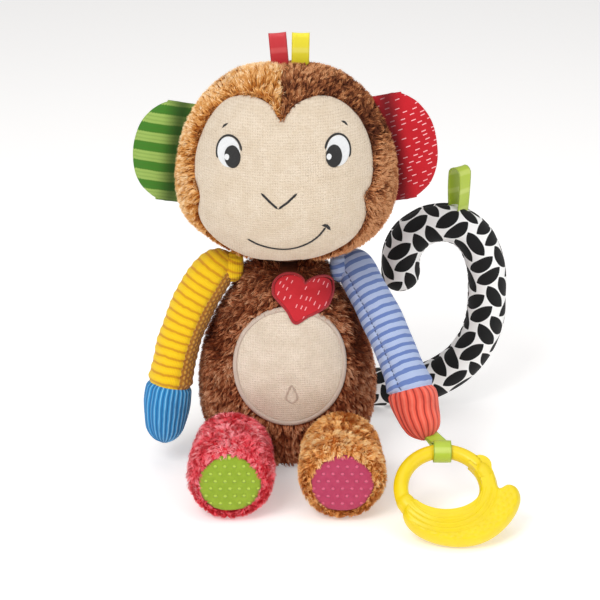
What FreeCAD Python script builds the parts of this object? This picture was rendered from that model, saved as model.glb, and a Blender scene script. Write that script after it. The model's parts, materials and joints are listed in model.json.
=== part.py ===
"""Seated plush activity monkey: a soft baby toy with a teether on one hand.

Millimetres. +Z is up, the monkey faces -Y and +X is its own left side, which is the side of the
striped sleeve. The origin is the middle of the flat seat, on the surface that the toy sits on.

Every fabric cover is a thin shell round its own stuffing. Panels of one cover meet at their seams.
Limbs, ears, head and tail are sewn on, and each sewn joint works as a hinge: the sewn end is
rounded about the hinge, so that it keeps clear of its neighbour as it turns.
"""
import FreeCAD, Part
import math
import os

from FreeCAD import Matrix, Vector

# ---- fabric ------------------------------------------------------------------------------------
SKIN = 1.2              # thickness of every fabric cover
THREAD = 0.7            # how far embroidery stands off the fabric
PATCH = 1.1             # how far an applique patch stands off the fabric
RIBBON_WIDTH = 11.0     # satin ribbon
RIBBON_THICK = 0.7
GAP = 0.4               # clearance between pieces that move against each other

# ---- torso: height, half width, depth in front, depth behind ------------------------------------
TORSO = [
    (0, 40, 31, 38),
    (6, 47, 35.5, 43),
    (14, 51.5, 38.5, 46),
    (26, 55.5, 42, 48),
    (38, 57, 45.5, 49),
    (52, 57, 48, 48),
    (70, 54, 48, 45),
    (90, 47, 43, 40),
    (108, 38.5, 35.5, 34),
    (120, 32.5, 29.5, 29),
    (128, 28, 24.5, 24.5),
    (133, 20, 18, 18),
    (135, 12, 11, 11),
]
TORSO_POWER = 2.15      # 2 is an ellipse, more is squarer

# ---- head, in its own frame: height, half width, depth in front, depth behind -------------------
HEAD_CENTRE = Vector(0, -2, 200)
HEAD_TILT = 10.0        # the face looks up by this many degrees
HEAD = [
    (-62, 13, 12, 10),
    (-58, 28, 28, 23),
    (-50, 45, 46, 35),
    (-38, 59, 58, 45),
    (-25, 67, 62.5, 52),
    (-10, 68.5, 60, 55),
    (10, 66, 56.5, 55),
    (30, 58, 49, 48),
    (46, 44, 37, 37),
    (56, 28, 23.5, 24),
    (62, 12, 10, 10),
]
HEAD_POWER = 2.1

# ---- neck ---------------------------------------------------------------------------------------
NECK_PIVOT = Vector(0, 0, 146)
NECK_BALL_R = 15.0
NECK_MOUTH_R = 11.5      # opening of the head round the neck

# ---- arms: centre line and radius, from the shoulder down ----------------------------------------
SHOULDER = Vector(44, -2, 129)      # pivot of the striped arm; the yellow arm mirrors it
SHOULDER_R = 13.0
SHOULDER_ROOM = 0.8                 # room round the ball of each shoulder
YELLOW_ARM = [
    ((-SHOULDER.x, SHOULDER.y, SHOULDER.z), SHOULDER_R),
    ((-52, -5, 117), 13.6),
    ((-60, -8, 104), 14.2),
    ((-67.5, -12, 88), 14.6),
    ((-72.5, -16, 72), 14.8),
    ((-76, -20, 56), 15.2),
    ((-78.4, -22, 42), 16.0),
    ((-79.4, -24, 30), 14.2),
]
STRIPED_ARM = [
    ((SHOULDER.x, SHOULDER.y, SHOULDER.z), SHOULDER_R),
    ((50, -10, 119), 13.4),
    ((57, -19, 108), 13.9),
    ((64, -29, 96), 14.1),
    ((70.5, -40, 83.5), 14.2),
    ((76, -50, 71.5), 14.8),
    ((80.5, -58.5, 60.5), 16.2),
    ((84, -65, 51.5), 13.6),
]
WRIST_BELOW = (57.5, 72.5)   # height of the wrist seam of the yellow and of the striped arm
INNER_SEAM = (5.0, -6.0)     # how far the sleeve's inner seam lies beside the arm's centre line

# ---- legs ---------------------------------------------------------------------------------------
HIP_X = 34.5
HIP_Y = -64.0
LEG_Z = 26.3
# distance in front of the hip, half width, half height
LEG = [
    (-23.6, 6, 6),
    (-21.5, 11.5, 11.5),
    (-15, 19.2, 19.2),
    (-6, 23.6, 23.6),
    (4, 24.6, 24.6),
    (16, 25.6, 25.4),
    (28, 26.4, 26.3),
    (36, 25.4, 25.4),
    (41.5, 21.5, 21.5),
    (44, 15, 15),
]
SOLE_R = 19.5

# ---- ears ---------------------------------------------------------------------------------------
EAR_HALF_THICK = 5.0
EAR_REACH = 30.0
EAR_POWER = 2.3
EAR_ROOM = 1.4          # room round an ear's root in the head's seam
# side, lower and upper end of the hinge line in the head's frame
GREEN_EAR = (-1, Vector(-73.5, 5, -28), Vector(-64.5, 5, 37))
RED_EAR = (1, Vector(73.0, 5, -27), Vector(62.0, 5, 42))

# ---- tail, in the plane Y = TAIL_Y ----------------------------------------------------------------
TAIL_R = 14.0
TAIL_Y = 63.5
TAIL_ROOT = (12.0, TAIL_R)
TAIL_BEND = 61.5        # radius of the big bend at the floor
TAIL_SIDE_X = 136.5     # middle of the tail's upright stretch
TAIL_SIDE_TOP = 92.0
TAIL_CROOK = ((60.0, 30.0), (27.5, 150.0))   # radius and turn of the two arcs of the crook
TAIL_END_DROP = 8.0     # straight end of the crook

# ---- teether --------------------------------------------------------------------------------------
RING_CENTRE = Vector(96.9, -109.6, 24.7)
RING_LEAN = 32.0        # the ring's plane rises towards the back by this many degrees
RING_R = 26.7
RING_TUBE_R = 4.6
CLIP_ANGLE = 36.0       # where the ring's free end sits in its catch
JOIN_ANGLE = 214.0      # where the ring grows out of the banana
BANANA_THICK = 11.0
HAND_LOOP_X = 95.0      # middle of the ribbon that holds the ring
HAND_LOOP_SLACK = 1.7   # room round the ring in the ribbon
HAND_LOOP_ROOT = Vector(0, -74.5, 39.5)


def section_points(half_width, front, back, power, count=24):
    """Points of a closed, nearly elliptical outline round the origin."""
    points = []
    for i in range(count):
        angle = 2 * math.pi * i / count
        c = math.cos(angle)
        s = math.sin(angle)
        x = half_width * math.copysign(abs(c) ** (2 / power), c)
        depth = back if s > 0 else front
        y = depth * math.copysign(abs(s) ** (2 / power), s)
        points.append((x, y))
    return points


def closed_spline(points):
    """One smooth closed wire through the points."""
    curve = Part.BSplineCurve()
    curve.interpolate(Points=points, PeriodicFlag=True)
    return Part.Wire([curve.toShape()])


def lofted_body(stations, power, inset=0.0):
    """A solid through the stations, every side moved in by inset (out if it is negative)."""
    low = stations[0][0]
    high = stations[-1][0]
    wires = []
    for z, half_width, front, back in stations:
        height = min(max(z, low + inset), high - inset)
        outline = section_points(half_width - inset, front - inset, back - inset, power)
        if height in (low + inset, high - inset) and z not in (low, high):
            continue
        wires.append(closed_spline([Vector(x, y, height) for x, y in outline]))
    return Part.makeLoft(wires, True, False)


def prism(points, y_from, y_to, smooth=True):
    """An outline in X and Z, pushed along Y."""
    corners = [Vector(x, y_from, z) for x, z in points]
    wire = closed_spline(corners) if smooth else Part.makePolygon(corners + [corners[0]])
    return Part.Face(wire).extrude(Vector(0, y_to - y_from, 0))


def slab(x0, x1, y0, y1, z0, z1):
    """A box between two corners."""
    return Part.makeBox(x1 - x0, y1 - y0, z1 - z0, Vector(x0, y0, z0))


def ellipse_stamp(cx, cz, rx, rz, y_from, y_to):
    """An ellipse in X and Z pushed along Y."""
    centre = Vector(cx, y_from, cz)
    if rx == rz:
        curve = Part.Circle(centre, Vector(0, 1, 0), rx)
    elif rx > rz:
        curve = Part.Ellipse(centre + Vector(rx, 0, 0), centre + Vector(0, 0, rz), centre)
    else:
        curve = Part.Ellipse(centre + Vector(0, 0, rz), centre + Vector(rx, 0, 0), centre)
    return Part.Face(Part.Wire([curve.toShape()])).extrude(Vector(0, y_to - y_from, 0))


def stroke_points(path, width):
    """The outline of a pen stroke of the given width along a path in X and Z."""
    left = []
    right = []
    last = len(path) - 1
    for i, (x, z) in enumerate(path):
        ax, az = path[max(i - 1, 0)]
        bx, bz = path[min(i + 1, last)]
        length = math.hypot(bx - ax, bz - az)
        nx = -(bz - az) / length * width / 2
        nz = (bx - ax) / length * width / 2
        left.append((x + nx, z + nz))
        right.append((x - nx, z - nz))
    return left + right[::-1]


def arc_path(cx, cz, rx, rz, start, end, count=9):
    """Points along an elliptical arc in X and Z, angles in degrees."""
    path = []
    for i in range(count):
        a = math.radians(start + (end - start) * i / (count - 1))
        path.append((cx + rx * math.cos(a), cz + rz * math.sin(a)))
    return path


def tube(path, grow=0.0):
    """A round solid along a list of (point, radius), domed at both ends."""
    points = [Vector(*p) for p, r in path]
    radii = [r + grow for p, r in path]
    stations = []
    first = (points[1] - points[0]).normalize()
    last = (points[-1] - points[-2]).normalize()
    dome = [math.radians(a) for a in (72, 48, 24)]
    for a in dome:
        stations.append((points[0] - first * (radii[0] * math.sin(a)), first, radii[0] * math.cos(a)))
    for i, point in enumerate(points):
        ahead = points[min(i + 1, len(points) - 1)]
        behind = points[max(i - 1, 0)]
        stations.append((point, (ahead - behind).normalize(), radii[i]))
    for a in reversed(dome):
        stations.append((points[-1] + last * (radii[-1] * math.sin(a)), last, radii[-1] * math.cos(a)))
    wires = [Part.Wire([Part.Circle(centre, along, r).toShape()]) for centre, along, r in stations]
    return Part.makeLoft(wires, True, False)


def proud_of(base, proud, stamp):
    """The layer between two bodies where a stamp passes through it, such as a sewn patch."""
    return proud.common(stamp).cut(base)


def on_head(shape):
    """Move a shape from the head's frame into the toy's frame."""
    placement = FreeCAD.Placement(HEAD_CENTRE, FreeCAD.Rotation(Vector(1, 0, 0), -HEAD_TILT))
    moved = shape.copy()
    moved.Placement = placement.multiply(moved.Placement)
    return moved


SMALLEST_SOLID = 0.5    # cubic millimetres: anything less is a splinter of a cut


def one_solid(shape):
    """The solids of a shape, without splinters, as one solid or as a compound of several."""
    solids = [s for s in shape.Solids if s.Volume > SMALLEST_SOLID]
    return solids[0] if len(solids) == 1 else Part.makeCompound(solids)


# ---- torso ----------------------------------------------------------------------------------------
BELLY = (2.0, 76.0, 34.5, 37.0)     # patch: x, z, half width, half height
RIM = 1.7
SEAT_SEAM = 4.0
HEART_CENTRE = (9.4, 118.0)
HEART_TURN = -12.0
HEART_HALF = 18.5
HEART_BORDER = 1.3
POCKET_R = 9.5
POCKET_X = 28.6


def heart_stamp(half):
    """A heart of the given half width pushed through the chest: two round lobes and a point."""
    lobe = half * 0.53
    middle = half - lobe
    rise = half * 0.24
    point = -half * 0.72
    reach = math.hypot(middle, rise - point)
    side = math.atan2(rise - point, middle) - math.asin(lobe / reach)
    run = math.sqrt(reach * reach - lobe * lobe)
    touch = Vector(run * math.cos(side), 0, point + run * math.sin(side))
    notch = Vector(0, 0, rise + math.sqrt(lobe * lobe - middle * middle))
    tip = Vector(0, 0, point)
    top = Vector(middle, 0, rise) + Vector(math.sin(0.35), 0, math.cos(0.35)) * lobe
    left = Vector(-touch.x, 0, touch.z)
    edges = [
        Part.LineSegment(tip, touch).toShape(),
        Part.Arc(touch, top, notch).toShape(),
        Part.Arc(notch, Vector(-top.x, 0, top.z), left).toShape(),
        Part.LineSegment(left, tip).toShape(),
    ]
    stamp = Part.Face(Part.Wire(edges)).extrude(Vector(0, -80, 0))
    stamp.rotate(Vector(0, 0, 0), Vector(0, 1, 0), -HEART_TURN)
    stamp.translate(Vector(HEART_CENTRE[0], 0, HEART_CENTRE[1]))
    return stamp


def shoulder_pocket(side, grow):
    """The dip in the torso that a shoulder sits in: a socket for the gathers and a dish for the arm."""
    start = Vector(side * (POCKET_X - grow), SHOULDER.y, SHOULDER.z)
    socket = Part.makeCylinder(POCKET_R + grow, 20, start, Vector(side, 0, 0))
    pivot = Vector(side * SHOULDER.x, SHOULDER.y, SHOULDER.z)
    return socket.fuse(Part.makeSphere(SHOULDER_R + SHOULDER_ROOM + grow, pivot))


def make_torso(parts):
    """Front, back and seat panels, the chest and belly patches, the stuffing and the rattle."""
    outer = lofted_body(TORSO, TORSO_POWER)
    inner = lofted_body(TORSO, TORSO_POWER, SKIN)
    for side in (-1, 1):
        outer = outer.cut(shoulder_pocket(side, 0))
        inner = inner.cut(shoulder_pocket(side, SKIN))
    shell = outer.cut(inner)
    x, z, rx, rz = BELLY
    patch = ellipse_stamp(x, z, rx, rz, -80, -8)
    rim_out = ellipse_stamp(x, z, rx + RIM, rz + RIM, -80, -8)
    heart = heart_stamp(HEART_HALF)
    heart_in = heart_stamp(HEART_HALF - HEART_BORDER)
    above_seat = slab(-90, 90, -90, 90, SEAT_SEAM, 140)
    front_half = slab(-90, 90, -90, 0, -1, 140)
    panels = shell.common(above_seat)
    parts["seat_panel"] = shell.cut(above_seat)
    parts["belly_patch"] = panels.common(patch)
    parts["torso_front_panel"] = panels.common(front_half).cut(patch)
    parts["torso_back_panel"] = panels.cut(front_half)
    raised = lofted_body(TORSO, TORSO_POWER, -PATCH)
    parts["belly_rim_stitch"] = proud_of(outer, raised, rim_out.cut(patch).cut(heart))
    parts["heart_patch"] = proud_of(outer, raised, heart_in)
    parts["heart_stitch_border"] = proud_of(outer, raised, heart.cut(heart_in))
    drop = [(3.4, 67.0), (6.6, 61.6), (7.4, 57.6), (3.4, 54.0), (-0.6, 57.6), (0.2, 61.6)]
    drop_in = [(3.4, 65.2), (5.7, 61.0), (6.2, 57.8), (3.4, 55.3), (0.6, 57.8), (1.1, 61.0)]
    thread = lofted_body(TORSO, TORSO_POWER, -THREAD)
    parts["navel_stitch"] = proud_of(outer, thread, prism(drop, -80, -8).cut(prism(drop_in, -80, -8)))
    make_rattle(parts)
    hollow = Part.makeSphere(RATTLE_R + GAP / 2, RATTLE_CENTRE)
    parts["torso_stuffing"] = inner.cut(hollow)


RATTLE_R = 15.0
RATTLE_CENTRE = Vector(0, 2, 72)
RATTLE_WALL = 1.6
BEAD_R = 2.2


def make_rattle(parts):
    """A small two-part ball with loose beads, buried in the stuffing."""
    ball = Part.makeSphere(RATTLE_R, RATTLE_CENTRE).cut(
        Part.makeSphere(RATTLE_R - RATTLE_WALL, RATTLE_CENTRE)
    )
    upper = slab(-20, 20, -20, 25, RATTLE_CENTRE.z, RATTLE_CENTRE.z + 20)
    parts["rattle_shell_upper"] = ball.common(upper)
    parts["rattle_shell_lower"] = ball.cut(upper)
    beads = []
    for i in range(6):
        a = math.radians(60 * i)
        centre = RATTLE_CENTRE + Vector(6.5 * math.cos(a), 6.5 * math.sin(a), -8.2)
        beads.append(Part.makeSphere(BEAD_R, centre))
    parts["rattle_beads"] = Part.makeCompound(beads)


# ---- neck and head --------------------------------------------------------------------------------
# face outline, from the notch on the brow round the left of the face to the chin and up again
FACE = [
    (-3, 31.5), (-10, 40.5), (-22, 45), (-35.5, 42.8), (-45.5, 33.8), (-52, 22), (-56, 8.5),
    (-56.3, -5), (-53.2, -16), (-54.5, -27), (-50.5, -38.6), (-40, -50), (-24, -57), (-4, -59.5),
    (14.7, -57.5), (31, -51), (43.5, -41), (49.3, -28), (48.4, -16), (52.8, -7), (53.5, 7),
    (50.8, 20), (44, 32.6), (33, 42), (20, 45.2), (6, 40.5),
]
LEFT_EYE = (-34.4, 12.4)
RIGHT_EYE = (31.4, 13.4)
EYE_HALF = (7.6, 9.4)
PUPIL_HALF = (4.9, 6.8)
PUPILS = ((-32.0, 9.8), (28.8, 10.4))
CHEEK_SEAM_X = -3.0     # the seam between the caramel and the brown side of the head
BACK_SEAM_SLOPE = 0.6


def make_neck(parts):
    """The stuffed neck plug: a ball inside the head, flat where it is sewn to the torso's top."""
    top = TORSO[-1][0] + GAP
    below = slab(-NECK_BALL_R, NECK_BALL_R, -NECK_BALL_R, NECK_BALL_R, 0, top)
    parts["neck_plug"] = Part.makeSphere(NECK_BALL_R, NECK_PIVOT).cut(below)


def make_head(parts):
    """Head panels, face panel, embroidery and stuffing."""
    outer = lofted_body(HEAD, HEAD_POWER)
    inner = lofted_body(HEAD, HEAD_POWER, SKIN)
    socket = Part.makeSphere(NECK_BALL_R + GAP, NECK_PIVOT)
    mouth = Part.makeCone(NECK_MOUTH_R, NECK_BALL_R + 6, 18, NECK_PIVOT, Vector(0, 0, -1))
    room = socket.fuse(mouth)
    shell = outer.cut(inner)
    face = prism(FACE, -90, -4)
    seam = BACK_SEAM_SLOPE
    behind = Part.Face(
        Part.makePolygon(
            [Vector(0, 8 - seam * z, z) for z in (-80, 80)] + [Vector(0, 120, 80), Vector(0, 120, -80)]
            + [Vector(0, 8 + seam * 80, -80)]
        )
    ).extrude(Vector(200, 0, 0))
    behind.translate(Vector(-100, 0, 0))
    left = slab(-100, CHEEK_SEAM_X, -100, 100, -80, 80)
    front = shell.cut(behind)
    head = {
        "head_back_panel": shell.common(behind),
        "face_panel": front.common(face),
        "head_left_panel": front.cut(face).common(left),
        "head_right_panel": front.cut(face).cut(left),
        "head_stuffing": inner,
    }
    grooves = ear_groove(*GREEN_EAR).fuse(ear_groove(*RED_EAR))
    for name, shape in head.items():
        parts[name] = on_head(shape).cut(room).cut(grooves)
    make_face_stitches(parts, outer)
    make_crown_loops(parts)


def make_face_stitches(parts, outer):
    """Eyes, lashes, brows, nose and mouth, as raised thread on the face."""
    thread = lofted_body(HEAD, HEAD_POWER, -THREAD)
    shapes = {}
    pupils = [ellipse_stamp(x, z, *PUPIL_HALF, -90, -10) for x, z in PUPILS]
    both = pupils[0].fuse(pupils[1])
    glints = [ellipse_stamp(x - 3.2, z - 0.2, 1.5, 1.7, -90, -10) for x, z in PUPILS]
    glint = glints[0].fuse(glints[1])
    eyes = (("eye_white_left", LEFT_EYE), ("eye_white_right", RIGHT_EYE))
    lashes = []
    for name, (x, z) in eyes:
        side = -1 if x < 0 else 1
        shapes[name] = ellipse_stamp(x, z, *EYE_HALF, -90, -10).cut(both)
        start, end = (200, 10) if side < 0 else (-20, 170)
        arc = arc_path(x, z, EYE_HALF[0] + 0.6, EYE_HALF[1] + 0.6, start, end)
        lashes.append(prism(stroke_points(arc, 1.1), -90, -10, smooth=False))
    shapes["pupils"] = both.cut(glint)
    shapes["eye_glints"] = glint
    shapes["lash_lines"] = lashes[0].fuse(lashes[1]).cut(both)
    for name in ("eye_white_left", "eye_white_right"):
        shapes[name] = shapes[name].cut(shapes["lash_lines"])
    brows = [arc_path(-37, 24.5, 6, 6, 155, 95, 5), arc_path(32.5, 25, 6, 6, 80, 25, 5)]
    bars = [prism(stroke_points(b, 1.1), -90, -10, smooth=False) for b in brows]
    shapes["brow_stitches"] = bars[0].fuse(bars[1])
    nose = stroke_points([(-14.7, -11.2), (-9.5, -16.2), (-4.3, -20.2)], 1.2)
    nose_b = stroke_points([(-4.9, -20.2), (1.0, -16.4), (6.6, -11.1)], 1.2)
    shapes["nose_stitch"] = prism(nose, -90, -10, smooth=False).fuse(
        prism(nose_b, -90, -10, smooth=False)
    )
    smile = arc_path(-1.0, -25.0, 28.5, 24.0, 218, 330, 15)
    tick = stroke_points([(21.0, -34.2), (24.2, -35.6), (26.6, -38.6)], 1.6)
    shapes["mouth_stitch"] = prism(stroke_points(smile, 1.2), -90, -10, smooth=False).fuse(
        prism(tick, -90, -10, smooth=False)
    )
    for name, stamp in shapes.items():
        parts[name] = on_head(proud_of(outer, thread, stamp))


def ribbon_loop(height, width, half_gap):
    """A folded ribbon standing on the origin: a U upside down in Y and Z, pushed along X."""
    outer_r = half_gap + RIBBON_THICK
    outside = slab(0, width, -outer_r, outer_r, 0, height - outer_r).fuse(
        Part.makeCylinder(outer_r, width, Vector(0, 0, height - outer_r), Vector(1, 0, 0))
    )
    inside = slab(-1, width + 1, -half_gap, half_gap, -1, height - outer_r).fuse(
        Part.makeCylinder(half_gap, width + 2, Vector(-1, 0, height - outer_r), Vector(1, 0, 0))
    )
    loop = outside.cut(inside).removeSplitter()
    loop.translate(Vector(-width / 2, 0, 0))
    return loop


CROWN_LOOPS = (("crown_loop_red", -3.6, 5.0, 5.0), ("crown_loop_yellow", 8.6, 5.0, -1.0))
CROWN_LOOP_HEIGHT = 24.0


def make_crown_loops(parts):
    """Two ribbon loops sewn into the seam on top of the head."""
    head = on_head(lofted_body(HEAD, HEAD_POWER))
    for name, x, y, turn in CROWN_LOOPS:
        loop = ribbon_loop(CROWN_LOOP_HEIGHT, RIBBON_WIDTH, 1.6)
        loop.rotate(Vector(0, 0, 0), Vector(0, 1, 0), -turn)
        loop.translate(Vector(x, y, 258))
        parts[name] = one_solid(loop.cut(head))


# ---- ears -----------------------------------------------------------------------------------------
def ear_outline(reach, half_length, shrink, y):
    """A D-shaped outline: straight along the hinge, round outside."""
    points = []
    count = 22
    for i in range(count):
        a = math.radians(-90 + 360 * i / count)
        t = math.copysign(abs(math.sin(a)) ** (2 / EAR_POWER), math.sin(a)) * half_length
        c = math.cos(a)
        r = reach * abs(c) ** (2 / EAR_POWER) if c > 0 else -3.0 * abs(c) ** 0.5
        points.append(Vector(r * shrink, y, t * shrink))
    return points


def ear_body(reach, half_length, half_thick):
    """The padded ear, its hinge on the Z axis, reaching along +X."""
    wires = []
    for share in (-1.0, -0.8, -0.35, 0.35, 0.8, 1.0):
        shrink = 1.0 - 0.34 * abs(share) ** 3
        wires.append(closed_spline(ear_outline(reach, half_length, shrink, share * half_thick)))
    return Part.makeLoft(wires, True, False)


def place_ear(shape, side, low, high):
    """Put an ear on its hinge line in the head's frame, then on the head."""
    middle = (low + high) * 0.5
    line = (high - low).normalize()
    outward = Vector(side, 0, 0)
    outward = (outward - line * outward.dot(line)).normalize()
    across = line.cross(outward)
    matrix = Matrix(
        outward.x, across.x, line.x, middle.x,
        outward.y, across.y, line.y, middle.y,
        outward.z, across.z, line.z, middle.z,
        0, 0, 0, 1,
    )
    placed = shape.copy()
    placed.Placement = FreeCAD.Placement(matrix)
    return on_head(placed)


def ear_groove(side, low, high):
    """The open seam that an ear is sewn into: a round groove about its hinge line."""
    length = (high - low).Length + 4
    radius = EAR_HALF_THICK + EAR_ROOM
    return place_ear(Part.makeCylinder(radius, length, Vector(0, 0, -length / 2)), side, low, high)


def make_ear(parts, colour, spec):
    """Front panel, back panel and padding of one ear."""
    side, low, high = spec
    half_length = (high - low).Length / 2
    outer = ear_body(EAR_REACH, half_length, EAR_HALF_THICK)
    inner = ear_body(EAR_REACH - SKIN, half_length - SKIN, EAR_HALF_THICK - SKIN)
    shell = outer.cut(inner)
    # the hinge frame's Y points forward on one side of the head and back on the other
    half = slab(-60, 60, 0, 60, -60, 60) if side < 0 else slab(-60, 60, -60, 0, -60, 60)
    parts[colour + "_ear_front"] = place_ear(shell.common(half), side, low, high)
    parts[colour + "_ear_back"] = place_ear(shell.cut(half), side, low, high)
    parts[colour + "_ear_padding"] = place_ear(inner, side, low, high)


# ---- arms -----------------------------------------------------------------------------------------
def seam_side(path, offset, side):
    """Everything on one side of a line drawn beside the arm's centre line, in front view."""
    line = [(p[0] + offset, p[2]) for p, r in path]
    line = [(line[0][0] - 0.6 * (line[1][0] - line[0][0]) * 4, line[0][1] + 40)] + line
    line.append((line[-1][0], line[-1][1] - 60))
    far = side * 200
    return prism(line + [(far, line[-1][1]), (far, line[0][1])], -150, 80, smooth=False)


def make_arm(parts, path, sleeve, inner_sleeve, mitten, stuffing, wrist, seam, side):
    """Sleeve in two panels, mitten and stuffing."""
    outer = tube(path)
    inner = tube(path, -SKIN)
    shell = outer.cut(inner)
    tip = Vector(*path[-1][0])
    above = Vector(*path[-3][0])
    along = (above - tip).normalize()
    centre = Vector(*path[-3][0])
    centre = centre + along * ((wrist - centre.z) / along.z)
    hand_room = Part.makeCylinder(60, 120, centre, along * -1)
    parts[mitten] = shell.common(hand_room)
    upper = shell.cut(hand_room)
    inside = seam_side(path, seam, side)
    parts[inner_sleeve] = upper.common(inside)
    parts[sleeve] = upper.cut(inside)
    parts[stuffing] = inner


def make_shoulder(parts, name, side):
    """The gathered end of a sleeve, sewn to the torso: a dished collar round the sewn seam."""
    pivot = Vector(side * SHOULDER.x, SHOULDER.y, SHOULDER.z)
    start = Vector(side * (POCKET_X + GAP), SHOULDER.y, SHOULDER.z)
    collar = Part.makeCylinder(POCKET_R - 2 * GAP, 8, start, Vector(side, 0, 0))
    parts[name] = collar.cut(Part.makeSphere(SHOULDER_R + SHOULDER_ROOM + GAP, pivot))


# ---- legs -----------------------------------------------------------------------------------------
def leg_body(grow):
    """A leg pointing along -Y from the hip at the origin."""
    first = LEG[0][0]
    last = LEG[-1][0]
    wires = []
    for s, half_width, half_height in LEG:
        s = min(max(s, first - grow), last + grow)
        outline = section_points(half_width + grow, half_height + grow, half_height + grow, 2.1)
        wires.append(closed_spline([Vector(x, -s, z) for x, z in outline]))
    return Part.makeLoft(wires, True, False)


def make_leg(parts, colour, sole_colour, side):
    """Cover, sole patch and stuffing of one leg."""
    hip = Vector(side * HIP_X, HIP_Y, LEG_Z)
    outer = leg_body(0)
    inner = leg_body(-SKIN)
    shell = outer.cut(inner)
    sole = Part.makeCylinder(SOLE_R, 60, Vector(0, -20, 0), Vector(0, -1, 0))
    pieces = {
        colour + "_leg_cover": shell.cut(sole),
        sole_colour + "_sole": shell.common(sole),
        colour + "_leg_stuffing": inner,
    }
    for name, shape in pieces.items():
        shape.translate(hip)
        parts[name] = shape


# ---- tail -----------------------------------------------------------------------------------------
def tail_path():
    """Straight runs and tangent arcs from the root round the crook to the tip."""
    x0, z0 = TAIL_ROOT
    corner_x = TAIL_SIDE_X - TAIL_BEND
    edges = [Part.LineSegment(Vector(x0, TAIL_Y, z0), Vector(corner_x, TAIL_Y, z0)).toShape()]
    place = Vector(corner_x, TAIL_Y, z0)
    heading = 0.0
    for radius, turn in ((TAIL_BEND, 90.0), (None, TAIL_SIDE_TOP), *TAIL_CROOK):
        if radius is None:
            end = Vector(place.x, TAIL_Y, turn)
            edges.append(Part.LineSegment(place, end).toShape())
            place = end
            continue
        a = math.radians(heading)
        centre = place + Vector(-math.sin(a), 0, math.cos(a)) * radius
        stops = []
        for share in (0.5, 1.0):
            b = a + math.radians(turn) * share
            stops.append(centre + Vector(math.sin(b), 0, -math.cos(b)) * radius)
        edges.append(Part.Arc(place, stops[0], stops[1]).toShape())
        place = stops[1]
        heading += turn
    end = place - Vector(0, 0, TAIL_END_DROP)
    edges.append(Part.LineSegment(place, end).toShape())
    return Part.Wire(edges), end


def tail_body(radius):
    """The tail's tube with round ends."""
    wire, end = tail_path()
    start = Vector(TAIL_ROOT[0], TAIL_Y, TAIL_ROOT[1])
    circle = Part.Wire([Part.Circle(start, Vector(1, 0, 0), radius).toShape()])
    pipe = wire.makePipeShell([circle], True, False)
    return pipe.fuse([Part.makeSphere(radius, start), Part.makeSphere(radius, end)])


TAIL_LOOP = (115.5, 134.5, 70.0)     # x, z and turn about Z of the ribbon loop on top of the tail
TAIL_LOOP_HEIGHT = 41.5
TAIL_LOOP_HALF_GAP = 4.7


def make_tail(parts):
    """Front and back panels, stuffing, and the ribbon loop sewn into the seam."""
    outer = tail_body(TAIL_R)
    inner = tail_body(TAIL_R - SKIN)
    shell = outer.cut(inner)
    front = slab(-20, 180, TAIL_Y - 40, TAIL_Y, -5, 170)
    parts["tail_front_panel"] = shell.common(front)
    parts["tail_back_panel"] = shell.cut(front)
    parts["tail_stuffing"] = inner
    x, z, turn = TAIL_LOOP
    loop = ribbon_loop(TAIL_LOOP_HEIGHT, RIBBON_WIDTH, TAIL_LOOP_HALF_GAP)
    loop.rotate(Vector(0, 0, 0), Vector(0, 0, 1), turn)
    loop.translate(Vector(x, TAIL_Y, z))
    parts["tail_loop"] = one_solid(loop.cut(outer))


# ---- hand loop and teether -------------------------------------------------------------------------
def ring_frame(shape):
    """Move a shape from the ring's own plane (X right, Y up the slope) to its place."""
    placed = shape.copy()
    placed.Placement = FreeCAD.Placement(RING_CENTRE, FreeCAD.Rotation(Vector(1, 0, 0), RING_LEAN))
    return placed


def make_hand_loop(parts):
    """A ribbon sewn to the fingertips that holds the ring."""
    lean = math.radians(RING_LEAN)
    top = RING_CENTRE + Vector(0, math.cos(lean), math.sin(lean)) * RING_R
    inner_r = RING_TUBE_R + HAND_LOOP_SLACK
    outer_r = inner_r + RIBBON_THICK
    x0 = HAND_LOOP_X - RIBBON_WIDTH / 2
    eye = Vector(x0, top.y, top.z)
    root = Vector(x0, HAND_LOOP_ROOT.y, HAND_LOOP_ROOT.z)
    reach = root - eye
    length = reach.Length
    across = Vector(0, -reach.z, reach.y).normalize()
    along = Vector(reach).normalize()

    def outline(radius, far, half_far):
        """A round end about the ring that narrows to the sewn end, pushed along the ribbon's width."""
        turn = math.acos(min((radius - half_far) / far, 1.0))
        side = across * math.sin(turn) + along * math.cos(turn)
        mirror = across * -math.sin(turn) + along * math.cos(turn)
        tip = eye + along * far
        a = eye + side * radius
        b = eye + mirror * radius
        c = tip + mirror * half_far
        d = tip + side * half_far
        arc = Part.Arc(a, eye - along * radius, b).toShape()
        wire = Part.Wire(
            [arc, Part.LineSegment(b, c).toShape(), Part.LineSegment(c, d).toShape(),
             Part.LineSegment(d, a).toShape()]
        )
        return Part.Face(wire).extrude(Vector(RIBBON_WIDTH, 0, 0))

    outside = outline(outer_r, length, RIBBON_THICK + 0.5)
    inside = outline(inner_r, length - 3.0, 0.5)
    parts["hand_loop"] = outside.cut(inside)


def make_teether(parts):
    """A split ring whose free end sits in a forked catch on a banana-shaped teether."""
    start = math.radians(CLIP_ANGLE + 3)
    sweep = JOIN_ANGLE - CLIP_ANGLE - 3
    centre = Vector(RING_R * math.cos(start), RING_R * math.sin(start), 0)
    along = Vector(-math.sin(start), math.cos(start), 0)
    face = Part.Face(Part.Wire([Part.Circle(centre, along, RING_TUBE_R).toShape()]))
    ring = face.revolve(Vector(0, 0, 0), Vector(0, 0, 1), sweep)
    tip = Part.makeSphere(RING_TUBE_R, centre)
    banana = make_banana()
    parts["teether_ring"] = ring_frame(ring.fuse(tip).removeSplitter().cut(banana))
    parts["teether_banana"] = ring_frame(banana)


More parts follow.
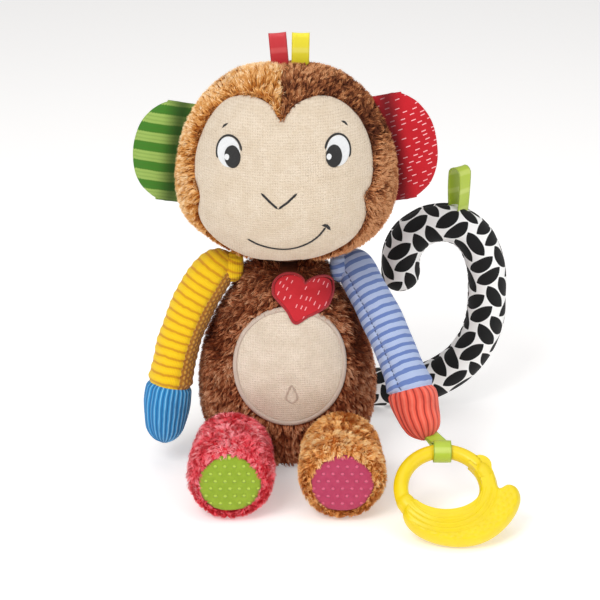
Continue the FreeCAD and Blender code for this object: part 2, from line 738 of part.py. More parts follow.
def make_banana():
    """The banana body under the ring, its stalk lobe and the forked catch at its neck."""
    outline = [
        (-24.5, -12), (-26.2, -19), (-22.5, -27), (-13, -34), (4, -38.6), (22, -36), (36, -26),
        (44.5, -13), (45.8, -4), (42.5, 1.2), (38, 0.6), (34.5, -1.5), (32, 5), (30.5, 12),
        (27.5, 16.5), (22.5, 13.5), (21.2, 6), (20, 0), (14.5, -6.4), (4, -10), (-8, -9.6), (-17, -9),
    ]
    wires = []
    middle = Vector(6, -18, 0)
    for share in (-1.0, -0.7, 0.0, 0.7, 1.0):
        shrink = 1.0 - 0.07 * abs(share) ** 2
        z = share * BANANA_THICK / 2
        points = [Vector(middle.x + (x - middle.x) * shrink, middle.y + (y - middle.y) * shrink, z)
                  for x, y in outline]
        wires.append(closed_spline(points))
    body = Part.makeLoft(wires, True, False)
    a = math.radians(CLIP_ANGLE - 2)
    seat = Vector(RING_R * math.cos(a), RING_R * math.sin(a), 0)
    catch = Part.makeCylinder(7.2, BANANA_THICK + 1, seat - Vector(0, 0, BANANA_THICK / 2 + 0.5))
    b = math.radians(CLIP_ANGLE + 3)
    end = Vector(RING_R * math.cos(b), RING_R * math.sin(b), 0)
    slot = Part.makeSphere(RING_TUBE_R + GAP, end)
    way_in = Part.makeCylinder(
        RING_TUBE_R + GAP, 20, end, Vector(-math.sin(b), math.cos(b), 0)
    )
    body = body.fuse(catch).cut(slot).cut(way_in)
    inner_hole = Part.makeCylinder(RING_R - RING_TUBE_R - 1.0, 30, Vector(0, 0, -15))
    keep_low = slab(-40, 60, -60, -8, -15, 15)
    upper_cut = inner_hole.cut(keep_low)
    return one_solid(body.cut(upper_cut))


def main():
    """Build every piece and write one file for each."""
    parts = {}
    make_torso(parts)
    make_neck(parts)
    make_head(parts)
    make_ear(parts, "green", GREEN_EAR)
    make_ear(parts, "red", RED_EAR)
    make_shoulder(parts, "yellow_shoulder_gather", -1)
    make_shoulder(parts, "striped_shoulder_gather", 1)
    make_arm(
        parts, YELLOW_ARM, "yellow_sleeve", "mustard_sleeve_panel", "blue_mitten",
        "yellow_arm_stuffing", WRIST_BELOW[0], INNER_SEAM[0], 1,
    )
    make_arm(
        parts, STRIPED_ARM, "striped_sleeve", "striped_sleeve_panel", "coral_mitten",
        "striped_arm_stuffing", WRIST_BELOW[1], INNER_SEAM[1], -1,
    )
    make_leg(parts, "pink", "green", -1)
    make_leg(parts, "caramel", "magenta", 1)
    make_tail(parts)
    make_hand_loop(parts)
    make_teether(parts)
    os.makedirs("parts", exist_ok=True)
    for name, shape in parts.items():
        solid = one_solid(shape)
        count = len(solid.Solids)
        box = solid.optimalBoundingBox()
        print(
            f"{name:26s} {count:2d} solids {solid.Volume:10.0f} mm3 valid {solid.isValid()} "
            f"x {box.XMin:7.1f} {box.XMax:6.1f} y {box.YMin:7.1f} {box.YMax:6.1f} "
            f"z {box.ZMin:6.1f} {box.ZMax:6.1f}"
        )
        solid.exportStep(f"parts/{name}.step")
    print(len(parts), "nodes")


main()
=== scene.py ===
"""Looks of the seated plush activity monkey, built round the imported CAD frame.

The scene is in metres; lengths in this script are millimetres times MM. +Z is up, the face looks
towards -Y and +X is the side of the striped sleeve. Every soft part is a grid of points taken from
its CAD stuffing, inflated as cloth, refined, and then dressed with pile, ribs, print and stitches.
"""

import json
import math

import bpy
import numpy as np
from mathutils import Matrix, Vector
from mathutils.bvhtree import BVHTree


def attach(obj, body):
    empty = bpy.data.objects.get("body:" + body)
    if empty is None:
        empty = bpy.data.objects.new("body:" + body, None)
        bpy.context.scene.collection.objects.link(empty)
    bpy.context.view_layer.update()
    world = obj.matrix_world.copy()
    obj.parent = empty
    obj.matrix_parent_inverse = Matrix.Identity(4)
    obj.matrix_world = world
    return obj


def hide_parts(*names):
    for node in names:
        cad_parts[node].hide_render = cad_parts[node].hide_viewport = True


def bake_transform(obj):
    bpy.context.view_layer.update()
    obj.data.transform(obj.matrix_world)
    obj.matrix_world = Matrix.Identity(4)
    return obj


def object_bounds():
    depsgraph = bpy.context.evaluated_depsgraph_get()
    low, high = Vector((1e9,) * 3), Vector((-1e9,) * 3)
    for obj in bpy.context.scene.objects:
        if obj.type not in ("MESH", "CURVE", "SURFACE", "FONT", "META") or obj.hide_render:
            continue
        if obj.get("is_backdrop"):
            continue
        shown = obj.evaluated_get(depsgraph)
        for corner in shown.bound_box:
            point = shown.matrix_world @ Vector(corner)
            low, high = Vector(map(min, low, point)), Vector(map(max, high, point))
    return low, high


MM = 0.001
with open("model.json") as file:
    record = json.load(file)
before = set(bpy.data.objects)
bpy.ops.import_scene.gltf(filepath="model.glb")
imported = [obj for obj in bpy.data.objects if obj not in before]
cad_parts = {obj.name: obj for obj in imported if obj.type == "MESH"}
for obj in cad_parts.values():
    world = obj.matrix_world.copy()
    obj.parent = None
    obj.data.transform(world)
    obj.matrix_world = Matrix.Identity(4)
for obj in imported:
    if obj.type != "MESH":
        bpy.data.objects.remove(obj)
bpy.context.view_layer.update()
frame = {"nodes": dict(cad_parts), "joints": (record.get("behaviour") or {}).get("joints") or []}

# ---- driving places ------------------------------------------------------------------------------
HEAD_CENTRE = Vector((0, -2, 200)) * MM
HEAD_FRAME = Matrix.Translation(HEAD_CENTRE) @ Matrix.Rotation(math.radians(-10), 4, "X")
BELLY = (2.0, 76.0, 34.5, 37.0)          # patch: x, z, half width, half height, in mm
HEART = (8.8, 117.0)                     # patch: x, z, in mm
HEART_TURN = -15.0                       # degrees
HEART_HALF = 18.5                        # half width, to the middle of its stitched border
SOLE_R = 19.5
HIP_Y, HIP_Z = -64.0, 26.3               # the legs' middle line where they leave the body
WRISTS = {"yellow": 54.5, "striped": 66.0}      # heights of the wrist seams
RIBBON_WIDTH = 0.011                     # m
FAR = 150 * MM


def joint_place(name):
    """The position and axis of a CAD joint."""
    joint = next(j for j in frame["joints"] if j["name"] == name)
    return Vector(joint["pos_m"]), Vector(joint["axis"])


# ---- camera, light and floor ---------------------------------------------------------------------
def make_camera():
    """A long lens that looks down a little at the middle of the toy."""
    distance, rise = 1.2, math.radians(22)
    data = bpy.data.cameras.new("camera")
    data.lens = 110.76
    data.sensor_width = 36
    camera = bpy.data.objects.new("camera", data)
    bpy.context.scene.collection.objects.link(camera)
    aim = Vector((0.0085, 0, 0.105))
    camera.location = aim + Vector((0, -math.cos(rise), math.sin(rise))) * distance
    camera.rotation_euler = (aim - camera.location).to_track_quat("-Z", "Y").to_euler()
    bpy.context.scene.camera = camera


def make_light(name, place, aim, size, power, colour=(1, 1, 1)):
    """A square soft light."""
    data = bpy.data.lights.new(name, "AREA")
    data.size = size
    data.energy = power
    data.color = colour
    lamp = bpy.data.objects.new(name, data)
    lamp.location = place
    lamp.rotation_euler = (Vector(aim) - Vector(place)).to_track_quat("-Z", "Y").to_euler()
    bpy.context.scene.collection.objects.link(lamp)


def make_studio():
    """A white room: pale floor, white surround and three soft lights."""
    world = bpy.data.worlds.new("studio")
    world.use_nodes = True
    world.node_tree.nodes["Background"].inputs["Color"].default_value = (1, 1, 1, 1)
    world.node_tree.nodes["Background"].inputs["Strength"].default_value = 0.46
    bpy.context.scene.world = world
    bpy.context.scene.view_settings.view_transform = "Standard"
    make_light("key", (-0.55, -0.9, 1.15), (0, 0, 0.12), 0.7, 10.5)
    make_light("fill", (0.9, -0.8, 0.5), (0, 0, 0.12), 0.9, 3.4)
    make_light("top", (0.1, 0.1, 1.3), (0, 0, 0), 1.2, 4.6)
    bpy.ops.mesh.primitive_plane_add(size=6, location=(0, 0, -0.0004))
    floor = bpy.context.object
    floor.name = "floor"
    look = Look("floor_white", (0.9, 0.89, 0.88), roughness=0.9, specular=0.1)
    look.bsdf.inputs["Emission Color"].default_value = (1, 0.985, 0.98, 1)
    look.bsdf.inputs["Emission Strength"].default_value = 0.31
    floor.data.materials.append(look.material)
    floor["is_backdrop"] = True


# ---- materials -----------------------------------------------------------------------------------
def screen(red, green, blue):
    """A screen colour, each part from 0 to 255, as linear light."""
    parts = [c / 255 for c in (red, green, blue)]
    return tuple(((c + 0.055) / 1.055) ** 2.4 if c > 0.04 else c / 12.92 for c in parts)


class Look:
    """A material being put together from nodes. Pattern coordinates are in millimetres."""

    def __init__(self, name, colour, roughness=0.85, sheen=0.0, specular=0.25):
        self.material = bpy.data.materials.new(name)
        self.material.use_nodes = True
        self.nodes = self.material.node_tree.nodes
        self.links = self.material.node_tree.links
        self.bsdf = self.nodes["Principled BSDF"]
        self.colour(colour)
        self.bsdf.inputs["Roughness"].default_value = roughness
        self.bsdf.inputs["Specular IOR Level"].default_value = specular
        self.bsdf.inputs["Sheen Weight"].default_value = sheen
        self.bsdf.inputs["Sheen Roughness"].default_value = 0.6
        self.material.diffuse_color = (*self.flat(colour), 1)

    @staticmethod
    def flat(colour):
        """A constant colour to show in plain views."""
        return (0.5, 0.5, 0.5) if isinstance(colour, bpy.types.NodeSocket) else tuple(colour)[:3]

    def put(self, socket, value):
        """Feed a socket with a constant, a colour or another node's output."""
        if isinstance(value, bpy.types.NodeSocket):
            self.links.new(value, socket)
        elif isinstance(value, tuple) and len(value) == 3 and socket.type == "RGBA":
            socket.default_value = (*value, 1)
        else:
            socket.default_value = value

    def colour(self, value):
        """Set the base colour."""
        self.put(self.bsdf.inputs["Base Color"], value)

    def math(self, operation, a, b=0.0, c=0.0):
        """One arithmetic step."""
        node = self.nodes.new("ShaderNodeMath")
        node.operation = operation
        for socket, value in zip(node.inputs, (a, b, c)):
            self.put(socket, value)
        return node.outputs[0]

    def times(self, a, b):
        """a times b."""
        return self.math("MULTIPLY", a, b)

    def plus(self, a, b):
        """a plus b."""
        return self.math("ADD", a, b)

    def minus(self, a, b):
        """a less b."""
        return self.math("SUBTRACT", a, b)

    def size(self, a):
        """a without its sign."""
        return self.math("ABSOLUTE", a)

    def within(self, a, period):
        """Where a lies in its period, from 0 to 1."""
        return self.math("FRACT", self.math("DIVIDE", a, period))

    def mix(self, share, a, b):
        """Colour a turning into colour b."""
        node = self.nodes.new("ShaderNodeMix")
        node.data_type = "RGBA"
        self.put(node.inputs[0], share)
        self.put(node.inputs[6], a)
        self.put(node.inputs[7], b)
        return node.outputs[2]

    def step(self, value, low, high):
        """0 below low, 1 above high and smooth between."""
        node = self.nodes.new("ShaderNodeMapRange")
        node.interpolation_type = "SMOOTHSTEP"
        self.put(node.inputs["Value"], value)
        node.inputs["From Min"].default_value = low
        node.inputs["From Max"].default_value = high
        return node.outputs["Result"]

    def pattern(self):
        """The pattern coordinates stored on the mesh: along, across and a third value."""
        node = self.nodes.new("ShaderNodeAttribute")
        node.attribute_name = "pat"
        parts = self.nodes.new("ShaderNodeSeparateXYZ")
        self.links.new(node.outputs["Vector"], parts.inputs[0])
        return node.outputs["Vector"], parts.outputs

    def place(self):
        """The point on the piece, in millimetres."""
        node = self.nodes.new("ShaderNodeTexCoord")
        scale = self.nodes.new("ShaderNodeVectorMath")
        scale.operation = "SCALE"
        scale.inputs["Scale"].default_value = 1 / MM
        self.links.new(node.outputs["Object"], scale.inputs[0])
        return scale.outputs["Vector"]

    def place_parts(self):
        """The point on the piece, and its X, Y and Z."""
        vector = self.place()
        parts = self.nodes.new("ShaderNodeSeparateXYZ")
        self.links.new(vector, parts.inputs[0])
        return vector, parts.outputs

    def noise(self, vector, size, detail=2.0):
        """Soft noise with lumps of about the given size in millimetres."""
        node = self.nodes.new("ShaderNodeTexNoise")
        self.links.new(vector, node.inputs["Vector"])
        node.inputs["Scale"].default_value = 1 / size
        node.inputs["Detail"].default_value = detail
        return node.outputs["Fac"]

    def speckle(self, x, y, z=0.0):
        """A random number for each whole-number place."""
        join = self.nodes.new("ShaderNodeCombineXYZ")
        for socket, value in zip(join.inputs, (x, y, z)):
            self.put(socket, value)
        node = self.nodes.new("ShaderNodeTexWhiteNoise")
        self.links.new(join.outputs[0], node.inputs["Vector"])
        return node.outputs["Value"]

    def wave(self, value, period):
        """A sine from 0 to 1 that repeats every period millimetres."""
        turn = self.times(value, 2 * math.pi / period)
        return self.math("MULTIPLY_ADD", self.math("SINE", turn), 0.5, 0.5)

    def bump(self, height, depth, strength=1.0):
        """Relief from a height of 0 to 1 that is depth millimetres deep."""
        node = self.nodes.new("ShaderNodeBump")
        node.inputs["Strength"].default_value = strength
        node.inputs["Distance"].default_value = depth * MM
        self.put(node.inputs["Height"], height)
        if self.bsdf.inputs["Normal"].is_linked:
            self.links.new(self.bsdf.inputs["Normal"].links[0].from_socket, node.inputs["Normal"])
        self.links.new(node.outputs[0], self.bsdf.inputs["Normal"])

    def weave(self, x, y, pitch, depth):
        """The over and under of a plain weave."""
        over = self.wave(x, pitch)
        under = self.wave(y, pitch)
        crossed = self.times(over, under)
        self.bump(crossed, depth)
        return crossed

    def dashes(self, x, y, row, pitch, salts, wander, length, width, bare):
        """Short dashes in loose rows. bare is the share of places that stay empty."""
        line = self.math("FLOOR", self.math("DIVIDE", y, row))
        shift = self.plus(self.math("DIVIDE", x, pitch), self.speckle(line, salts[0]))
        cell = self.math("FLOOR", shift)
        u = self.size(self.minus(self.math("FRACT", shift), 0.5))
        drift = self.times(self.minus(self.speckle(cell, line, salts[1]), 0.5), wander)
        v = self.size(self.plus(self.minus(self.within(y, row), 0.5), drift))
        dash = self.times(self.math("LESS_THAN", u, length), self.math("LESS_THAN", v, width))
        return self.times(dash, self.math("GREATER_THAN", self.speckle(cell, line, salts[2]), bare))

    def rotated(self, parts, degrees):
        """Pattern coordinates turned in their plane."""
        c = math.cos(math.radians(degrees))
        s = math.sin(math.radians(degrees))
        x = self.math("MULTIPLY_ADD", parts[0], c, self.times(parts[1], s))
        y = self.math("MULTIPLY_ADD", parts[1], c, self.times(parts[0], -s))
        return x, y


# ---- grids ---------------------------------------------------------------------------------------
def tree_of(*nodes):
    """A search tree over the meshes of some CAD nodes."""
    points = []
    faces = []
    for name in nodes:
        mesh = frame["nodes"][name].data
        base = len(points)
        points.extend(v.co.copy() for v in mesh.vertices)
        faces.extend([base + k for k in p.vertices] for p in mesh.polygons)
    return BVHTree.FromPolygons(points, faces)


def eased(low, high, count):
    """Values from low to high that crowd together at both ends."""
    return [low + (high - low) * (0.5 - 0.5 * math.cos(math.pi * i / (count - 1))) for i in range(count)]


def polar_grid(tree, rows, cols, to_world):
    """Where level rays from all round meet a body. A row is a height and a share of the radius."""
    grid = np.zeros((len(rows), cols, 3))
    to_local = to_world.inverted()
    turn = to_world.to_3x3()
    for i, (height, share) in enumerate(rows):
        axis = Vector((0, 0, height))
        for j in range(cols):
            a = 2 * math.pi * j / cols
            out = Vector((math.cos(a), math.sin(a), 0))
            hit = tree.ray_cast(to_world @ (axis + out * FAR), turn @ -out, FAR)[0]
            place = to_local @ hit if hit else axis + out * MM
            grid[i, j] = to_world @ (axis + (place - axis) * share)
    return grid


def capped_rows(low, high, count, lift=0.6 * MM):
    """Heights with a few shrinking rows that close both ends."""
    middle = [(z, 1.0) for z in eased(low, high, count)]
    bottom = [(low - lift * 0.6, 0.35), (low - lift * 0.3, 0.7)]
    top = [(high + lift * 0.3, 0.7), (high + lift * 0.6, 0.35)]
    return [(max(z, low), s) if s < 1 else (z, s) for z, s in bottom] + middle + [
        (min(z, high), s) for z, s in top
    ]


def spine_of(tree, start, lowest, count):
    """The middle line of a hanging limb, from the middles of its level slices."""
    centre = Vector(start)
    line = [centre.copy()]
    for z in np.linspace(start.z, lowest, count)[1:]:
        centre.z = z
        for axis in (0, 1, 0, 1):
            out = Vector((1, 0, 0)) if axis == 0 else Vector((0, 1, 0))
            ends = [tree.ray_cast(centre + out * s * 60 * MM, -out * s, 60 * MM)[0] for s in (-1, 1)]
            if None not in ends:
                centre[axis] = (ends[0][axis] + ends[1][axis]) / 2
        line.append(centre.copy())
    return evenly(np.array([list(p) for p in line]), count)


def evenly(line, count):
    """The same line with evenly spaced points."""
    steps = np.linalg.norm(np.diff(line, axis=0), axis=1)
    along = np.concatenate([[0], np.cumsum(steps)])
    wanted = np.linspace(0, along[-1], count)
    return np.stack([np.interp(wanted, along, line[:, k]) for k in range(3)], axis=1)


TUBE_DOMES = (84, 64, 44, 22)


def tube_grid(spine, cols, side, radius_at, end_scale=(1.0, 1.0)):
    """Rings round a line with domed ends. side points to column 0; radius_at(centre, way) is given."""
    ahead = np.gradient(spine, axis=0)
    rings = [(spine[0], -ahead[0], a) for a in TUBE_DOMES]
    rings += [(p, d, 0) for p, d in zip(spine, ahead)]
    rings += [(spine[-1], ahead[-1], a) for a in reversed(TUBE_DOMES)]
    first = len(TUBE_DOMES)
    grid = np.zeros((len(rings), cols, 3))
    for i, (centre, along, tilt) in enumerate(rings):
        along = Vector(along).normalized()
        forward = along if i >= first else -along
        one = (Vector(side) - forward * forward.dot(Vector(side))).normalized()
        two = forward.cross(one)
        scale = end_scale[0] if i < first else end_scale[1]
        for j in range(cols):
            a = 2 * math.pi * j / cols
            flat = one * math.cos(a) + two * math.sin(a)
            t = math.radians(tilt)
            way = (flat * math.cos(t) + along * math.sin(t) * scale).normalized()
            grid[i, j] = Vector(centre) + way * radius_at(Vector(centre), way)
    return grid


def hit_radius(tree, reach):
    """A radius function that measures a body from outside, along a ray to the middle."""
    def radius(centre, way):
        hit = tree.ray_cast(centre + way * reach, -way, reach)[0]
        return (hit - centre).length if hit else reach * 0.4
    return radius


def finer(grid, factor, axis, wrap):
    """More points between those of a grid along one axis, on smooth curves through them."""
    g = np.moveaxis(grid, axis, 0)
    if wrap:
        p = np.concatenate([g[-1:], g, g[:2]])
    else:
        p = np.concatenate([2 * g[:1] - g[1:2], g, 2 * g[-1:] - g[-2:-1]])
    a, b, c, d = p[:-3], p[1:-2], p[2:-1], p[3:]
    parts = []
    for k in range(factor):
        t = k / factor
        parts.append(
            0.5 * (2 * b + (c - a) * t + (2 * a - 5 * b + 4 * c - d) * t ** 2
                   + (3 * b - a - 3 * c + d) * t ** 3)
        )
    fine = np.stack(parts, axis=1).reshape(-1, *g.shape[1:])
    if not wrap:
        fine = np.concatenate([fine, g[-1:]])
    return np.moveaxis(fine, 0, axis)


def refined(grid, rows, cols):
    """A finer closed grid."""
    return finer(finer(grid, cols, 1, True), rows, 0, False)


def grid_normals(grid, wrap=True):
    """Outward normals of a grid of points."""
    if wrap:
        across = np.roll(grid, -1, axis=1) - np.roll(grid, 1, axis=1)
    else:
        across = np.gradient(grid, axis=1)
    along = np.gradient(grid, axis=0)
    normal = np.cross(across, along)
    length = np.linalg.norm(normal, axis=2, keepdims=True)
    normal = normal / np.maximum(length, 1e-12)
    centre = grid.mean(axis=1, keepdims=True)
    outward = np.sum((grid - centre) * normal)
    return normal if outward > 0 else -normal


def grid_faces(rows, cols, wrap):
    """Quads between neighbouring points of a grid."""
    i, j = np.meshgrid(np.arange(rows - 1), np.arange(cols if wrap else cols - 1), indexing="ij")
    right = (j + 1) % cols
    return np.stack([i * cols + j, i * cols + right, (i + 1) * cols + right, (i + 1) * cols + j], -1)


def mesh_object(name, points, faces, pat=None, smooth=True):
    """A mesh object from arrays; faces is a list of equal-sized arrays of corners."""
    mesh = bpy.data.meshes.new(name)
    mesh.from_pydata([tuple(p) for p in points], [], [tuple(int(k) for k in f) for f in faces])
    mesh.validate()
    if pat is not None:
        layer = mesh.attributes.new("pat", "FLOAT_VECTOR", "POINT")
        layer.data.foreach_set("vector", np.asarray(pat, np.float32).ravel())
    mesh.polygons.foreach_set("use_smooth", [smooth] * len(mesh.polygons))
    made = bpy.data.objects.new(name, mesh)
    bpy.context.scene.collection.objects.link(made)
    return made


def grid_object(name, grid, wrap=True, closed=(True, True), pat=None):
    """A mesh from a grid, with its ends closed by a point."""
    rows, cols = grid.shape[:2]
    points = list(grid.reshape(-1, 3))
    coords = None if pat is None else list(pat.reshape(-1, 3))
    faces = [tuple(f) for f in grid_faces(rows, cols, wrap).reshape(-1, 4)]
    for end, row in ((0, 0), (1, rows - 1)):
        if not closed[end]:
            continue
        points.append(grid[row].mean(axis=0))
        if coords is not None:
            coords.append(pat[row].mean(axis=0))
        tip = len(points) - 1
        for j in range(cols if wrap else cols - 1):
            pair = (row * cols + j, row * cols + (j + 1) % cols)
            faces.append((pair[1], pair[0], tip) if end == 0 else (pair[0], pair[1], tip))
    made = mesh_object(name, points, faces, coords)
    point_outward(made)
    return made


def point_outward(piece):
    """Turn a closed mesh's faces so that they look outward."""
    volume = 0.0
    mesh = piece.data
    centre = sum((v.co for v in mesh.vertices), Vector()) / len(mesh.vertices)
    for face in mesh.polygons:
        volume += face.normal.dot(face.center - centre) * face.area
    if volume < 0:
        mesh.flip_normals()


def tree_from_grid(grid):
    """A search tree over a closed grid."""
    rows, cols = grid.shape[:2]
    points = [Vector(p) for p in grid.reshape(-1, 3)]
    faces = [list(map(int, f)) for f in grid_faces(rows, cols, True).reshape(-1, 4)]
    for row in (0, rows - 1):
        points.append(Vector(grid[row].mean(axis=0)))
        faces += [[row * cols + j, row * cols + (j + 1) % cols, len(points) - 1] for j in range(cols)]
    return BVHTree.FromPolygons(points, faces)


def tree_of_piece(piece):
    """A search tree over a piece's mesh."""
    mesh = piece.data
    corners = [list(p.vertices) for p in mesh.polygons]
    return BVHTree.FromPolygons([v.co.copy() for v in mesh.vertices], corners)


# ---- repeatable noise ----------------------------------------------------------------------------
def cell_random(cells, salt):
    """A repeatable number from 0 to 1 for each row of three whole numbers."""
    c = cells.astype(np.int64)
    h = (c[:, 0] * 73856093) ^ (c[:, 1] * 19349663) ^ (c[:, 2] * 83492791) ^ (salt * 2654435761)
    h = h & 0xFFFFFFFF
    for _ in range(2):
        h = ((h ^ (h >> 16)) * 0x45D9F3B) & 0xFFFFFFFF
    return ((h ^ (h >> 16)) & 0xFFFFFF) / float(0x1000000)


def soft_noise(points, size, salt):
    """Smooth noise from 0 to 1 with lumps of the given size."""
    p = np.asarray(points) / size
    base = np.floor(p)
    t = p - base
    t = t * t * (3 - 2 * t)
    total = np.zeros(len(p))
    for corner in range(8):
        shift = np.array([corner & 1, (corner >> 1) & 1, (corner >> 2) & 1])
        weight = np.prod(np.where(shift == 1, t, 1 - t), axis=1)
        total += weight * cell_random(base + shift, salt)
    return total


# ---- cloth ---------------------------------------------------------------------------------------
SIM_SCALE = 10.0
waiting = []


def inflate_later(name, grid, pinned, pressure, cap):
    """Put a coarse grid in the queue for the one cloth simulation. pinned is a mask of sewn points."""
    shell = grid_object("cloth_" + name, grid * SIM_SCALE)
    group = shell.vertex_groups.new(name="sewn")
    fixed = np.concatenate([pinned.ravel(), [True, True]])
    group.add([int(k) for k in np.nonzero(fixed)[0]], 1.0, "REPLACE")
    cloth = shell.modifiers.new("cloth", "CLOTH")
    settings = cloth.settings
    settings.quality = 5
    settings.mass = 0.12
    settings.tension_stiffness = 18
    settings.compression_stiffness = 18
    settings.bending_stiffness = 0.25
    settings.use_pressure = True
    settings.uniform_pressure_force = pressure
    settings.effector_weights.gravity = 0
    settings.vertex_group_mass = "sewn"
    cloth.collision_settings.use_collision = False
    cloth.collision_settings.use_self_collision = False
    waiting.append((shell, grid, cap))
    return len(waiting) - 1


def run_cloth():
    """Blow up every queued shell at once and return the new grids."""
    for step in range(1, 21):
        bpy.context.scene.frame_set(step)
    depsgraph = bpy.context.evaluated_depsgraph_get()
    grids = []
    for shell, grid, cap in waiting:
        blown = grid.copy()
        mesh = shell.evaluated_get(depsgraph).to_mesh()
        flat = np.zeros(len(mesh.vertices) * 3)
        mesh.vertices.foreach_get("co", flat)
        moved = flat.reshape(-1, 3)[: grid.shape[0] * grid.shape[1]].reshape(grid.shape)
        shift = moved / SIM_SCALE - grid
        size = np.linalg.norm(shift, axis=2, keepdims=True)
        blown = grid + shift * np.minimum(1, cap / np.maximum(size, 1e-9))
        grids.append(blown)
    for shell, _, _ in waiting:
        mesh = shell.data
        bpy.data.objects.remove(shell)
        bpy.data.meshes.remove(mesh)
    bpy.context.scene.frame_set(1)
    return grids


# ---- pile ----------------------------------------------------------------------------------------
def grid_triangles(grid):
    """Points, normals and triangles of a closed grid."""
    rows, cols = grid.shape[:2]
    quads = grid_faces(rows, cols, True).reshape(-1, 4)
    triangles = np.concatenate([quads[:, [0, 1, 2]], quads[:, [0, 2, 3]]])
    return grid.reshape(-1, 3), grid_normals(grid).reshape(-1, 3), triangles


def scattered(grid, count, rng):
    """Random points and normals spread evenly over a grid."""
    points, normals, triangles = grid_triangles(grid)
    a, b, c = (points[triangles[:, k]] for k in range(3))
    area = np.linalg.norm(np.cross(b - a, c - a), axis=1)
    pick = np.searchsorted(np.cumsum(area), rng.random(count) * area.sum())
    pick = np.minimum(pick, len(triangles) - 1)
    u = rng.random(count)
    v = rng.random(count)
    flip = u + v > 1
    u[flip] = 1 - u[flip]
    v[flip] = 1 - v[flip]
    share = np.stack([1 - u - v, u, v], axis=1)[:, :, None]
    where = np.sum(points[triangles[pick]] * share, axis=1)
    normal = np.sum(normals[triangles[pick]] * share, axis=1)
    return where, unit(normal)


def unit(v):
    """Vectors scaled to length 1."""
    return v / np.maximum(np.linalg.norm(v, axis=-1, keepdims=True), 1e-12)


CLUMP = 2.4 * MM
SPLAY = (34, 64)        # how far the lower and upper half of a fibre lie over, in degrees


def fur(name, body, grid, count, length, lay, shade, tones, keep, seed, width=0.5 * MM):
    """Short plush pile: many three-sided fibres in small clumps that share a lean and a tone.

    lay(points, normals) is the way the pile lies, shade(points, clump) a tone from 0 to 1, and
    keep(points) says where there is pile.
    """
    rng = np.random.default_rng(seed)
    root, normal = scattered(grid, count, rng)
    wanted = keep(root)
    root, normal = root[wanted], normal[wanted]
    count = len(root)
    drift = (soft_noise(root, 5 * MM, seed) - 0.5)[:, None] * 3 * MM
    cell = np.floor((root + drift) / CLUMP)
    middle = (cell + 0.5) * CLUMP - drift
    clump = np.stack([cell_random(cell, seed + k) for k in range(4)], axis=1)
    way = lay(root, normal) + (clump[:, :3] - 0.5) * 1.5 + (rng.random((count, 3)) - 0.5) * 0.6
    way = unit(way - normal * np.sum(way * normal, axis=1, keepdims=True))
    pull = middle - root
    pull -= normal * np.sum(pull * normal, axis=1, keepdims=True)
    size = length * (0.75 + 0.35 * clump[:, 3] + 0.3 * rng.random(count))[:, None]
    low, high = (np.radians(a + 14 * (rng.random(count) - 0.5))[:, None] for a in SPLAY)
    middle_point = root + (normal * np.cos(low) + way * np.sin(low)) * size * 0.5 + pull * 0.25
    tip = middle_point + (normal * np.cos(high) + way * np.sin(high)) * size * 0.5 + pull * 0.45
    side = unit(np.cross(way, normal)) * width / 2
    base = root - normal * 0.3 * MM
    points = np.stack([base - side, base + side, middle_point - side * 0.8,
                       middle_point + side * 0.8, tip], axis=1)
    points[:, :, 2] = np.maximum(points[:, :, 2], 0.25 * MM)
    tone = shade(root, clump[:, 3]) + (rng.random(count) - 0.5) * 0.42
    tone = np.clip(tone, 0, 0.999) * (len(tones) - 1)
    first = tone.astype(int)
    made = fibre_mesh(name, points, first, len(tones))
    for material in tones:
        made.data.materials.append(material)
    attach(made, body)
    return made


def fibre_mesh(name, points, tone, last):
    """One mesh of fibres, each a quad and a triangle; the tip is a tone lighter, which leaves painted shade
    on the lower half.
    """
    count = len(points)
    start = np.arange(count)[:, None] * 5
    corners = np.concatenate([start + [0, 1, 3, 2], start + [2, 3, 4]], axis=1).ravel()
    mesh = bpy.data.meshes.new(name)
    mesh.vertices.add(count * 5)
    mesh.vertices.foreach_set("co", points.astype(np.float32).ravel())
    mesh.loops.add(count * 7)
    mesh.loops.foreach_set("vertex_index", corners.astype(np.int32))
    mesh.polygons.add(count * 2)
    begin = (np.arange(count)[:, None] * 7 + [0, 4]).ravel()
    mesh.polygons.foreach_set("loop_start", begin.astype(np.int32))
    # the lower half one tone darker than the tip: painted shade towards the root
    index = np.stack([tone, np.minimum(tone + 1, last - 1)], axis=1).ravel()
    mesh.polygons.foreach_set("material_index", index.astype(np.int32))
    mesh.update(calc_edges=True)
    made = bpy.data.objects.new(name, mesh)
    bpy.context.scene.collection.objects.link(made)
    return made


def fibre_tones(name, colours):
    """Plain fibre colours from dark to light."""
    made = []
    for i, colour in enumerate(colours):
        look = Look(f"{name}_{i}", screen(*colour), roughness=0.75, sheen=0.0, specular=0.15)
        made.append(look.material)
    return made


def backing(name, dark, light):
    """The knitted cloth under the pile, darker than the fibres as painted shade among their roots."""
    look = Look(name, screen(*dark), roughness=0.95)
    where = look.place()
    look.colour(look.mix(look.noise(where, 3.0), screen(*dark), screen(*light)))
    look.bump(look.noise(where, 0.8), 0.4)
    return look.material


# ---- outlines and patches ------------------------------------------------------------------------
class Outline:
    """A closed curve in X and Z through a few points."""

    def __init__(self, points, factor=8, smooth=True):
        line = np.array(points, float)[:, None, :]
        self.points = finer(line, factor, 0, True)[:, 0] if smooth else line[:, 0]

    def inside(self, x, z):
        """Which places lie inside."""
        ax, az = self.points.T
        bx, bz = np.roll(self.points, -1, axis=0).T
        x, z = x[:, None], z[:, None]
        crosses = (az > z) != (bz > z)
        at = ax + (z - az) * (bx - ax) / np.where(bz == az, 1e-9, bz - az)
        return (np.sum(crosses & (x < at), axis=1) % 2) == 1

    def gap(self, x, z):
        """Distance to the curve."""
        step = np.stack([x, z], axis=1)[:, None, :] - self.points[None]
        return np.sqrt(np.min(np.sum(step ** 2, axis=2), axis=1))


